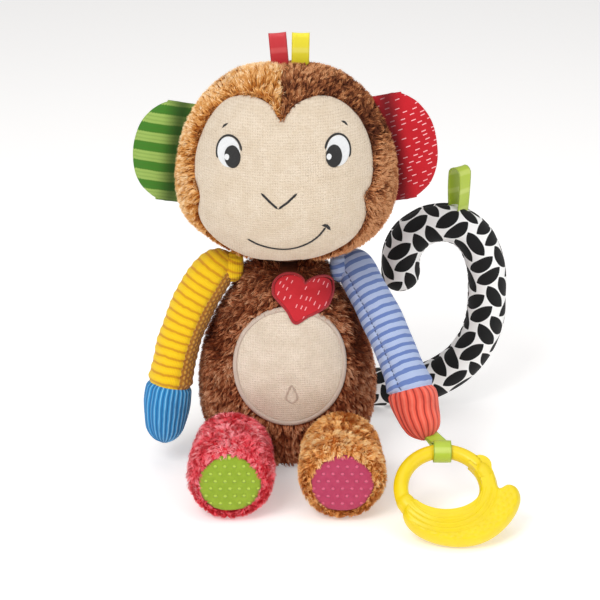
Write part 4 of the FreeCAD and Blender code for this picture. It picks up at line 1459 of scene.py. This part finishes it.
def head_lay(points, normals):
    """The pile is brushed away from the face and down the sides."""
    x, y, z = head_local(points)
    way = np.stack([x * 0.7, np.full_like(x, 22.0), z * 0.8 - 14], axis=1) / 40
    way += (np.stack([soft_noise(points, 17 * MM, k) for k in (31, 32, 33)], axis=1) - 0.5) * 1.5
    inward = (FACE.gap(x, z) < 1.4) & (y < 0) & (soft_noise(points, 3 * MM, 39) > 0.5)
    way[inward] = np.stack([-x, np.zeros_like(x), -z], axis=1)[inward] / 40
    return way @ np.array(HEAD_FRAME.to_3x3()).T


def head_shade(region):
    """Tones of one plush panel: flecks everywhere, painted shade by the face's edge and round the ears'
    roots, and on the right panel painted shade above with a painted highlight strip along the crown.
    """
    def shade(points, clump):
        x, y, z = head_local(points)
        tone = 0.5 + (clump - 0.5) * 0.75 + (soft_noise(points, 15 * MM, 44) - 0.5) * 0.45
        # painted shade along the seam round the face
        near = np.exp(-(FACE.gap(x, z) / 5) ** 2) * (y < 0)
        if region == "left":
            tone += 0.12 - 0.2 * near
        elif region == "right":
            # right panel: painted shade on the upper part, lighter lower down
            tone += 0.06 + 0.34 * np.clip((24 - z) / 24, 0, 1) - 0.16 * (z > 20)
            # painted highlight strip along the crown
            tone += 0.34 * np.exp(-((z - 57) / 5) ** 2)
        # painted shade round the roots of the ears
        for _, low, high in EARS.values():
            t = np.clip((z - low.z) / (high.z - low.z), 0, 1)
            root = np.hypot(x - low.x - (high.x - low.x) * t, y - 5)
            tone -= 0.3 * np.exp(-(root / 10) ** 2)
        return tone
    return shade


for region, colours, base, seed in (("left", CARAMEL, "plush_caramel", 51),
                                    ("right", BROWN_SHADED, "plush_brown", 52),
                                    ("back", BROWN, "plush_brown", 53)):
    piece = fur(f"head_{region}_pile", "head", head_skin, 110000, 4.1 * MM, head_lay, head_shade(region),
                fibre_tones("head_" + region, colours), head_keep(region), seed)
    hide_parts(f"head_{region}_panel")


def face_relief(x, z):
    """Soft creases under the eyes, in metres."""
    total = 0.0
    for ex, ez in ((-33.5, 15), (31, 16)):
        gap = math.hypot((x - ex) / 17, (z - ez) / 19) * 18 - 18
        if z < ez - 4:
            total -= 0.7 * math.exp(-(gap / 1.6) ** 2)
    total += 1.2 * math.exp(-((x + 4) / 22) ** 2 - ((z + 28) / 20) ** 2)
    return total * MM


piece = patch("face_panel", FACE, (0, -6), face, 1.4 * MM, fine=face_relief)
finish_piece(piece, "head", ["face_panel"],
             velour("velour_face", (202, 182, 156), (218, 202, 180), (230, 216, 198)))

on_face = Front(tree_of_piece(piece), HEAD_FRAME)
EYES = {"left": (-34.4, 12.4), "right": (31.4, 13.4)}
PUPILS = {"left": (-32.0, 9.8), "right": (28.8, 10.4)}


def oval(centre, half, count=48):
    """An elliptical outline."""
    return Outline([(centre[0] + half[0] * math.cos(a), centre[1] + half[1] * math.sin(a))
                    for a in np.linspace(0, 2 * math.pi, count, endpoint=False)], 1)


def satin_stitch(name, colour, roughness=0.5):
    """Close upright threads."""
    look = Look(name, screen(*colour), roughness=roughness, sheen=0.1, specular=0.5)
    _, parts = look.pattern()
    strand = look.wave(look.plus(parts[0], look.times(parts[1], 0.25)), 0.7)
    low = tuple(c * 0.72 for c in screen(*colour))
    look.colour(look.mix(strand, low, screen(*colour)))
    look.bump(strand, 0.2)
    return look.material


white = satin_stitch("thread_white", (248, 249, 250))
black = satin_stitch("thread_black", (17, 15, 15), 0.6)
pupils = []
glints = []
for side, (x, z) in EYES.items():
    piece = patch(f"eye_white_{side}", oval((x, z), (7.1, 9.2)), (x, z), on_face, 0.5 * MM, 0.8 * MM)
    finish_piece(piece, "head", [f"eye_white_{side}"], white)
    px, pz = PUPILS[side]
    pupils.append(patch("pupil_" + side, oval((px, pz), (4.9, 6.8)), (px, pz), on_face, 0.95 * MM, 0.6 * MM))
    gx, gz = px - 3.1, pz - 0.4
    glints.append(patch("glint_" + side, oval((gx, gz), (1.5, 1.9), 20), (gx, gz), on_face,
                        1.35 * MM, 0.5 * MM))


def joined(name, pieces):
    """Several meshes as one object."""
    bpy.ops.object.select_all(action="DESELECT")
    for one in pieces:
        one.select_set(True)
    bpy.context.view_layer.objects.active = pieces[0]
    if len(pieces) > 1:
        bpy.ops.object.join()
    pieces[0].name = name
    return pieces[0]


finish_piece(joined("pupils", pupils), "head", ["pupils"], black)
finish_piece(joined("eye_glints", glints), "head", ["eye_glints"], white)


def arc(cx, cz, rx, rz, start, end, count=24):
    """Places along an elliptical arc, angles in degrees."""
    return [(cx + rx * math.cos(a), cz + rz * math.sin(a))
            for a in np.radians(np.linspace(start, end, count))]


def curve(points, factor):
    """An open smooth line through a few points."""
    return finer(np.array(points, float)[:, None, :], factor, 0, False)[:, 0]


SMILE = curve([(-23.5, -39.8), (-16, -43.6), (-6, -46.2), (3, -46.2), (12, -43.2), (19, -38.4),
               (24.2, -32.0)], 5)
STITCHES = {
    "lash_lines": [(arc(-34.2, 12.4, 7.6, 9.8, 205, 5), 1.4), (arc(31.2, 13.4, 7.6, 9.8, -25, 175), 1.4)],
    "brow_stitches": [([(-38.6, 26.0), (-37.0, 27.7), (-34.8, 29.0)], 1.6),
                      ([(33.2, 30.4), (35.4, 29.6), (37.4, 27.4)], 1.6)],
    "nose_stitch": [([(-14.9, -10.9), (-9.5, -16.0), (-4.6, -20.2)], 1.5),
                    ([(-4.6, -20.2), (1.0, -16.2), (6.8, -10.9)], 1.5)],
    "mouth_stitch": [(SMILE, 1.4), ([(21.4, -30.6), (24.6, -31.2), (27.0, -34.4)], 2.1)],
}
for name, lines in STITCHES.items():
    made = [stitched_line(f"{name}_{k}", line, on_face, width * MM, 0.45 * MM, 0.8 * MM)
            for k, (line, width) in enumerate(lines)]
    finish_piece(joined(name, made), "head", [name], black)


# ---- ribbons -------------------------------------------------------------------------------------
def ribbon(name, line, across, width, cols=9, cup=0.3, thick=0.45):
    """A satin band along a line of points; across is its width direction at each point."""
    line = np.array(line, float)
    across = unit(np.array(across, float))
    ahead = unit(np.gradient(line, axis=0))
    out = unit(np.cross(ahead, across))
    total = np.concatenate([[0], np.cumsum(np.linalg.norm(np.diff(line, axis=0), axis=1))])
    share = np.linspace(-1, 1, cols)
    section = [(s, 0.5) for s in share] + [(s, -0.5) for s in share[::-1]]
    grid = np.zeros((len(line), len(section), 3))
    pat = np.zeros_like(grid)
    for k, (s, face_side) in enumerate(section):
        lift = face_side * thick * MM + cup * MM * (1 - s * s)
        grid[:, k] = line + across * (s * width / 2) + out * lift
        pat[:, k, 0] = total / MM
        pat[:, k, 1] = s * width / 2 / MM
        pat[:, k, 2] = face_side
    return grid_object(name, grid, pat=pat), total[-1]


def loop_line(half_gap, height, root, turn, lean=0.0, count=40):
    """A folded loop standing on a root: up one side, round the top and down the other."""
    flat = [(-half_gap * 0.35, -4.0), (-half_gap * 0.8, height * 0.3), (-half_gap, height * 0.62)]
    flat += [(half_gap * math.sin(a), height - half_gap + half_gap * math.cos(a))
             for a in np.radians(np.arange(-90, 91, 22.5))]
    flat += [(half_gap, height * 0.62), (half_gap * 0.8, height * 0.3), (half_gap * 0.35, -4.0)]
    fine = curve(flat, 6)
    c, s = math.cos(math.radians(turn)), math.sin(math.radians(turn))
    points = [(root[0] + lean * z - y * s, root[1] + y * c, root[2] + z) for y, z in fine]
    return evenly(np.array(points) * MM, count)


def declare_ribbon(piece, body, node, material):
    """Give a ribbon, a sheet folded into a loop, its material, body and CAD node."""
    finish_piece(piece, body, [node], material)


RED_SATIN = satin("ribbon_red", (158, 16, 28), (206, 46, 54), (240, 124, 122))
YELLOW_SATIN = satin("ribbon_yellow", (214, 190, 10), (238, 224, 44), (253, 244, 150))
LIME_SATIN = satin("ribbon_lime", (134, 166, 30), (182, 204, 52), (238, 244, 160))
for node, x, turn, material, slot_name in (("crown_loop_red", -3.6, 5.0, RED_SATIN, "ribbon_red"),
                                           ("crown_loop_yellow", 8.6, -1.0, YELLOW_SATIN, "ribbon_yellow")):
    line = loop_line(1.9, 22.8, (x, 5.0, 258.0), 0.0, math.tan(math.radians(-turn)))
    lean = math.radians(turn)
    piece, length = ribbon(node, line, [(math.cos(lean), 0, math.sin(lean))] * len(line), RIBBON_WIDTH)
    declare_ribbon(piece, "head", node, material)

# ---- ears ----------------------------------------------------------------------------------------
EAR_CLOTH = {       # slot and material of the front and the back of each ear
    ("green", "front"): ("cotton_green_striped", cotton_striped()),
    ("red", "front"): ("cotton_red_dashed", cotton_red_dashed()),
    ("green", "back"): ("cotton_green_plain",
                        plain_cotton("cotton_green_plain", (50, 88, 34), (74, 118, 50))),
    ("red", "back"): ("cotton_red_plain",
                      plain_cotton("cotton_red_plain", (140, 18, 30), (170, 30, 42))),
}
for colour, (side, low, high) in EARS.items():
    ear_skin = refined(skins[colour + "_ear"], 4, 3)
    frame_of, half = ear_frame(colour)
    q = local(ear_skin, frame_of)
    seam = ring_distance(ear_skin.shape[1], 0)[None, :].astype(float)
    relief = -1.0 * dip(seam, 1.6) + 0.35 * noise_on(ear_skin, 11, 61)
    relief += 0.35 * dip(seam - 5, 2.0)
    ear_skin = add_relief(ear_skin, relief)
    pat = q[..., [0, 2, 1]].copy()
    pat[..., 0] *= side
    pat[..., 2] = seam
    cols = ear_skin.shape[1]
    near_front = q[0, cols // 4, 1] * (frame_of.to_3x3() @ Vector((0, 1, 0))).y < 0
    first = 0 if near_front else cols // 2
    for part, start in (("front", first), ("back", first + cols // 2)):
        made = open_piece(f"{colour}_ear_{part}", ear_skin, pat, start, start + cols // 2,
                          closed=(True, True))
        nodes = [f"{colour}_ear_{part}"] + ([colour + "_ear_padding"] if part == "front" else [])
        slot_name, material = EAR_CLOTH[colour, part]
        finish_piece(made, None, nodes, material)
        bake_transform(made)

# ---- arms ----------------------------------------------------------------------------------------
STRIPES = jersey_striped()
ARMS = {        # side, ribs round the mitten, their pitch, and slot, node and material of three cloths
    "yellow": (-1, 28, 3.4, (
        ("corduroy_yellow", "yellow_sleeve", corduroy_yellow()),
        ("minky_mustard", "mustard_sleeve_panel",
         minky("minky_mustard", (150, 88, 26), (206, 150, 44), 3.6, 0.42)),
        ("corduroy_blue", "blue_mitten",
         corduroy("corduroy_blue", (28, 104, 164), (44, 142, 204), (128, 198, 240), 3.4, 0.35, 0.78)),
    )),
    "striped": (1, 20, 4.7, (
        ("jersey_blue_striped", "striped_sleeve", STRIPES),
        ("jersey_blue_striped", "striped_sleeve_panel", STRIPES),
        ("corduroy_coral", "coral_mitten",
         corduroy("corduroy_coral", (168, 48, 38), (236, 92, 72), (244, 118, 98), 4.7, 0.22, 0.6)),
    )),
}
ROUND = 96.0                # the sleeves' pattern grows by this much in a round
COLUMN = 1.15               # the width of one column of a refined sleeve, in mm
YELLOW_RIB = 5.65           # pitch of the yellow sleeve's cross ribs
FOLD_AT = 0.125             # where on its round each mitten has a fold
GATHER = ((27.6, 0.6), (28.0, 5.5), (29.0, 7.6), (31.0, 8.8), (33.0, 9.5), (35.0, 9.8), (37.0, 9.6),
          (38.4, 8.6), (39.2, 5.0), (39.4, 0.6))        # x and radius of the sleeve's gathered end


def gathered_end(name, side):
    """The gathered end of a sleeve in its pocket."""
    grid = []
    for x, r in GATHER:
        ring = []
        for a in np.linspace(0, 2 * math.pi, 72, endpoint=False):
            radius = r * (1 + 0.03 * math.cos(14 * a))
            ring.append([side * x * MM, (-2 + radius * math.cos(a)) * MM, (129 + radius * math.sin(a)) * MM])
        grid.append(ring)
    grid = np.array(grid)
    slope = math.radians(20)
    stripe = (side * grid[..., 0] * math.sin(slope) - grid[..., 2] * math.cos(slope)) / MM
    pat = np.stack([stripe, grid[..., 0] / MM, np.full(stripe.shape, 50.0)], axis=2)
    return grid_object(f"{name}_shoulder_gather", grid, pat=pat)


for name, (side, ribs, pitch, (sleeve_cloth, panel_cloth, mitten_cloth)) in ARMS.items():
    arm = refined(skins[name + "_arm"], 4, 3)
    rows, cols = arm.shape[:2]
    wrist = int(np.argmin(np.abs(arm.mean(axis=1)[:, 2] / MM - WRISTS[name])))
    along, _ = along_across(arm)
    hand_from = along[wrist, 0]
    turn = np.broadcast_to(np.arange(cols)[None, :] / cols, (rows, cols))
    seams = [k * 3 for k in SEAMS[name]]
    sleeve = along < hand_from
    relief = 0.5 * noise_on(arm, 12, 71)
    for seam in seams:
        gap = ring_distance(cols, seam)[None, :] * COLUMN
        pucker = 0.6 + 0.4 * np.sin(along * 2 * math.pi / 5.5)
        relief -= np.where(sleeve, 1.1 * dip(gap, 1.5) * pucker, 0)
    relief -= 1.3 * dip(along - hand_from, 1.3)
    relief += 0.5 * dip(along - hand_from + 3.0, 1.6)
    if name == "yellow":
        drift = (noise_on(arm, 9, 75) + 1) * 0.5
        relief += np.where(sleeve, 0.26 * np.sin((along + drift) * 2 * math.pi / YELLOW_RIB), 0)
    relief += np.where(sleeve, 0, 0.22 * np.cos(turn * 2 * math.pi * ribs))
    to_tip = along - along[-1, 0]
    relief += np.where(sleeve, 0, 2.6 * np.clip((to_tip + 16) / 16, 0, 1) ** 2)
    if name == "yellow":
        outer_side = np.clip(grid_normals(arm)[..., 0] * side, 0, 1)
        relief += 3.4 * outer_side * dip(along - 34, 19)
    relief -= np.where(sleeve, 0, 0.9 * dip(turn - FOLD_AT, 0.02))
    arm = add_relief(arm, relief)
    to_seam = np.minimum(*(ring_distance(cols, seam) for seam in seams))[None, :] * COLUMN
    sleeve_pat = np.stack([along, turn * ROUND, np.broadcast_to(to_seam, along.shape)], axis=2)
    mitten_pat = np.stack([along, turn * ribs * pitch, turn], axis=2)
    half = cols // 2
    upper = (None, wrist + 1)
    outside = open_piece(sleeve_cloth[1], arm, sleeve_pat, seams[1], seams[0] + cols, rows=upper, girth=ROUND)
    inside_panel = open_piece(panel_cloth[1], arm, sleeve_pat, seams[0], seams[1], rows=upper)
    mitten = open_piece(mitten_cloth[1], arm, mitten_pat, half, half + cols, rows=(wrist, None),
                        closed=(False, True), girth=ribs * pitch)
    for made, (slot_name, node, material) in ((outside, sleeve_cloth), (inside_panel, panel_cloth),
                                              (mitten, mitten_cloth)):
        nodes = [node] + ([name + "_arm_stuffing"] if made is outside else [])
        finish_piece(made, name + "_arm", nodes, material)
    finish_piece(gathered_end(name, side), name + "_shoulder", [f"{name}_shoulder_gather"],
                 sleeve_cloth[2])

# ---- legs ----------------------------------------------------------------------------------------
LEG_LOOKS = {       # fibre colours, pile slot, folds along the leg, sole, and the sole's slot and cloth
    "pink": (PINK, "plush_pink", (2, 14, 26), "green_sole", "dotted_green",
             minky("dotted_green", (124, 150, 26), (164, 190, 52), 5.8, 0.24, 0.35)),
    "caramel": (TAN, "plush_caramel", (6, 24), "magenta_sole", "dotted_magenta",
                minky("dotted_magenta", (160, 40, 76), (202, 74, 108), 5.8, 0.24, 0.35)),
}
for name, side in LEGS.items():
    colours, slot_name, folds, sole, sole_slot, sole_cloth = LEG_LOOKS[name]
    frame_of = leg_frame(side)
    leg = refined(skins[name + "_leg"], 3, 3)
    q = local(leg, frame_of)
    ahead = q[..., 2]
    relief = 0.7 * noise_on(leg, 13, 81 + int(side > 0))
    for k, place in enumerate(folds):
        bend = place + 3 * np.sin(np.arctan2(q[..., 1], q[..., 0]) * 2 + k)
        relief -= 1.3 * dip(ahead - bend, 2.2)
    reach = np.hypot(q[..., 0], q[..., 1])
    relief -= np.where(ahead > 30, 1.0 * dip(reach - SOLE_R, 1.8), 0)
    relief = np.where(leg[..., 2] < 2.5 * MM, np.minimum(relief, 0), relief)
    leg = add_relief(leg, relief)
    leg[..., 2] = np.maximum(leg[..., 2], 0.6 * MM)
    tree = tree_from_grid(leg)
    ground = backing(slot_name + "_leg_ground", colours[0], colours[1])
    piece = grid_object(name + "_leg_cloth", leg)
    finish_piece(piece, name + "_leg", [name + "_leg_stuffing"], ground)

    def leg_keep(points, frame_of=frame_of):
        x, y, z = local(points[None], frame_of)[0].T
        return ~((np.hypot(x, y) < 19.0) & (z > 30)) & (z > -19) & (points[:, 2] > 0.8 * MM)

    def leg_lay(points, normals, frame_of=frame_of):
        x, y, z = local(points[None], frame_of)[0].T
        way = np.stack([np.zeros_like(x), np.full_like(x, -0.3), np.full_like(x, -0.9)], axis=1)
        way += (np.stack([soft_noise(points, 13 * MM, k) for k in (91, 92, 93)], axis=1) - 0.5) * 1.3
        front = z > 36
        way[front] = np.stack([x, np.zeros_like(x), y], axis=1)[front] / -30
        return way

    def leg_shade(points, clump, frame_of=frame_of, folds=folds):
        x, y, z = local(points[None], frame_of)[0].T
        tone = 0.52 + (clump - 0.5) * 0.5 + (soft_noise(points, 12 * MM, 95) - 0.5) * 0.45
        for k, place in enumerate(folds):
            bend = place + 3 * np.sin(np.arctan2(y, x) * 2 + k)
            # painted shade in each fold
            tone -= 0.3 * np.exp(-((z - bend) / 2.5) ** 2)
            # painted highlight on the rise beside each fold
            tone += 0.22 * np.exp(-((z - bend - 5) / 3.0) ** 2)
        # painted shade near the floor
        return tone - 0.15 * (points[:, 2] < 8 * MM)

    piece = fur(name + "_leg_pile", name + "_leg", leg, 36000, 3.8 * MM, leg_lay, leg_shade,
                fibre_tones(slot_name + "_leg", colours), leg_keep, 96)
    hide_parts(name + "_leg_cover")
    angles = np.linspace(0, 2 * math.pi, 48, endpoint=False)
    radius = SOLE_R * (1 + 0.025 * np.sin(3 * angles + side) + 0.015 * np.sin(5 * angles))
    line = Outline(list(zip(radius * np.cos(angles), radius * np.sin(angles) * 0.97)), 3)
    piece = patch(sole, line, (0, 0), Front(tree, hip(side)), 1.0 * MM)
    finish_piece(piece, name + "_leg", [sole], sole_cloth)

# ---- tail ----------------------------------------------------------------------------------------
tail = refined(skins["tail"], 2, 4)
rows, cols = tail.shape[:2]
along, _ = along_across(tail)
turn = np.arange(cols) / cols
relief = 0.45 * noise_on(tail, 14, 101)
for seam in (0.25, 0.75):
    gap = ring_distance(cols, seam * cols)[None, :] * 0.9
    relief -= 1.1 * dip(gap, 1.5) * (0.65 + 0.35 * np.sin(along * 2 * math.pi / 4.2))
    inner = 0.75 if tail[rows // 2, int(0.75 * cols), 0] < tail[rows // 2, 0, 0] else 0.25
    crook = (along > 150) & (seam == inner)
    relief -= np.where(crook, 0.5 * np.clip(np.sin(along * 2 * math.pi / 7.5), 0, 1) * dip(gap, 6.0), 0)
tail = add_relief(tail, relief)
pat = np.stack([tail[..., 0] / MM, tail[..., 2] / MM, np.broadcast_to(turn, along.shape)], axis=2)
centre = tail.mean(axis=1, keepdims=True)
out = (tail - centre) / np.maximum(np.linalg.norm(tail - centre, axis=2, keepdims=True), 1e-9)
spread = np.arcsin(np.clip(np.hypot(out[..., 0], out[..., 2]), 0, 1)) * 13.6 / np.maximum(
    np.hypot(out[..., 0], out[..., 2]), 1e-6)
pat[..., 0] = centre[..., 0] / MM + out[..., 0] * spread
pat[..., 1] = centre[..., 2] / MM + out[..., 2] * spread
leaves = leaf_print()
quarter = cols // 4
front = open_piece("tail_front_panel", tail, pat, -quarter, quarter, closed=(True, True))
back = open_piece("tail_back_panel", tail, pat, quarter, 3 * quarter, closed=(True, True))
finish_piece(front, "tail", ["tail_front_panel", "tail_stuffing"], leaves)
finish_piece(back, "tail", ["tail_back_panel"], leaves)

LOOP_TURN = 40.0
line = loop_line(4.9, 41.0, (115.5, 63.5, 134.5), LOOP_TURN)
twist = np.radians(LOOP_TURN + 6 * np.sin(np.arange(len(line)) / 6))
bend = np.stack([np.cos(twist), np.sin(twist), np.zeros_like(twist)], axis=1)
piece, length = ribbon("tail_loop", line, bend, RIBBON_WIDTH)
declare_ribbon(piece, "tail", "tail_loop", LIME_SATIN)

# ---- hand loop and teether -----------------------------------------------------------------------
RING_R = 26.7                   # from the ring's middle to the middle of its bar
RIM_R = 26.9                    # the same for the thicker bar on the body
lean = math.radians(32)
RING = Matrix.Translation(Vector((96.9, -109.6, 24.7)) * MM) @ Matrix.Rotation(lean, 4, "X")
top = Vector((95.0, -109.6 + RING_R * math.cos(lean), 24.7 + RING_R * math.sin(lean)))
root = Vector((95.0, -74.5, 39.5))
far = (root - top).length
reach = (root - top) / far
side = Vector((0, -reach.z, reach.y))
flat = [(far + 3.0, 0.9), (far - 2, 1.0), (far - 6, 2.4)]
flat += [(6.6 * math.cos(a), 6.6 * math.sin(a)) for a in np.radians(np.arange(60, 301, 20))]
flat += [(far - 6, -2.4), (far - 2, -1.0), (far + 3.0, -0.9)]
fine = curve(flat, 5)
line = []
for u, v in fine:
    t = max(0.0, (u - 4) / (far - 1)) ** 2
    line.append(list((top + reach * u + side * v + Vector((1.5 - 9 * t, 2.5 * t, 4.5 * t))) * MM))
line = evenly(np.array(line), 48)
piece, length = ribbon("hand_loop", line, [(1, 0, 0)] * len(line), RIBBON_WIDTH, cup=0.15)
declare_ribbon(piece, None, "hand_loop", LIME_SATIN)
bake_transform(piece)



def bar_line(start, end, count, across, down):
    """Part of the teether's round. across and down are the radii, down only for its lower half."""
    angles = np.radians(np.linspace(start, end, count))
    high = [across if math.sin(a) >= 0 else down for a in angles]
    return np.array([list(RING @ (Vector((across * math.cos(a), r * math.sin(a), 0)) * MM))
                     for a, r in zip(angles, high)])


plastic = moulded("teether_yellow", (232, 198, 2), (244, 218, 3))
ring_line = bar_line(39, 218, 90, RING_R, RING_R)
out_of_ring = RING.to_3x3() @ Vector((0, 0, 1))
grid = tube_grid(ring_line, 28, out_of_ring, lambda centre, way: 4.6 * MM)
piece = grid_object("teether_ring", grid, pat=grid / MM)
finish_piece(piece, "teether", ["teether_ring"], plastic)


def banana_piece():
    """The teether's body: the CAD solid softened at its edges, with a rim, ridges and bumps."""
    source = frame["nodes"]["teether_banana"]
    made = bpy.data.objects.new("teether_banana_body", source.data.copy())
    bpy.context.scene.collection.objects.link(made)
    modifier = made.modifiers.new("remesh", "REMESH")
    modifier.mode = "VOXEL"
    modifier.voxel_size = 0.75 * MM
    soften = made.modifiers.new("soften", "SMOOTH")
    soften.factor = 0.6
    soften.iterations = 7
    depsgraph = bpy.context.evaluated_depsgraph_get()
    mesh = bpy.data.meshes.new_from_object(made.evaluated_get(depsgraph))
    made.modifiers.clear()
    made.data = mesh
    mesh.transform(RING.inverted())
    count = len(mesh.vertices)
    flat = np.zeros(count * 3)
    mesh.vertices.foreach_get("co", flat)
    q = flat.reshape(-1, 3) / MM
    normal = np.zeros(count * 3)
    mesh.vertices.foreach_get("normal", normal)
    up = normal.reshape(-1, 3)[:, 2]
    hole = np.hypot(q[:, 0] / 22.5, q[:, 1] / 17.0)
    spread = np.where((hole < 1) & (q[:, 1] < 4) & (hole > 0.05), 1 / np.maximum(hole, 0.05), 1.0)
    q[:, :2] *= spread[:, None]
    radius = np.hypot(q[:, 0], q[:, 1])
    round_off = np.where((q[:, 1] >= 3) & (radius < 22.3) & (radius > 5), 22.3 / np.maximum(radius, 5), 1.0)
    q[:, :2] *= round_off[:, None]
    catch = np.hypot(q[:, 0] - 22.1, q[:, 1] - 15.0) < 9.5
    q[catch, 2] = np.clip(q[catch, 2], -4.0, 4.0)
    radius = np.hypot(q[:, 0], q[:, 1])
    angle = np.degrees(np.arctan2(q[:, 1], q[:, 0]))
    flat_face = np.clip((np.abs(up) - 0.6) * 4, 0, 1)
    lower = (angle < 15) & (angle > -170) & (q[:, 1] < -2)
    ridge = 0.45 * np.cos((radius - 24) * 2 * math.pi / 3.4) * (radius > 22) * (radius < 33.5)
    dots = np.clip(np.cos(radius * 2 * math.pi / 3.6) * np.cos(np.radians(angle) * 34), 0, 1)
    dots *= 0.6 * (radius >= 33.5)
    lift = np.where(lower, ridge + dots, 0) * flat_face * np.sign(up)
    q[:, 2] += lift
    mesh.vertices.foreach_set("co", (q * MM).ravel())
    mesh.transform(RING)
    mesh.update()
    mesh.polygons.foreach_set("use_smooth", [True] * len(mesh.polygons))
    return made


def rim_piece():
    """The ring's round bar where it goes on along the top of the teether's body."""
    made = tube_grid(bar_line(206, 388, 80, RIM_R, 21.5), 24, out_of_ring, lambda centre, way: 5.7 * MM)
    return grid_object("teether_rim", made)


finish_piece(joined("teether_body", [banana_piece(), rim_piece()]), "teether",
             ["teether_banana"], moulded("teether_yellow_body", (230, 200, 2), (243, 218, 4)))

# ---- hidden pieces -------------------------------------------------------------------------------
for node, material in (
    ("neck_plug", plain_cotton("cotton_neck", (104, 60, 36), (134, 84, 54))),
    ("rattle_shell_upper", moulded("rattle_plastic", (206, 206, 208), (226, 226, 228))),
    ("rattle_shell_lower", moulded("rattle_plastic_lower", (206, 206, 208), (226, 226, 228))),
    ("rattle_beads", moulded("rattle_plastic_beads", (196, 198, 202), (222, 222, 226))),
):
    shown = frame["nodes"][node]
    shown.data.materials.clear()
    shown.data.materials.append(material)

low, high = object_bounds()
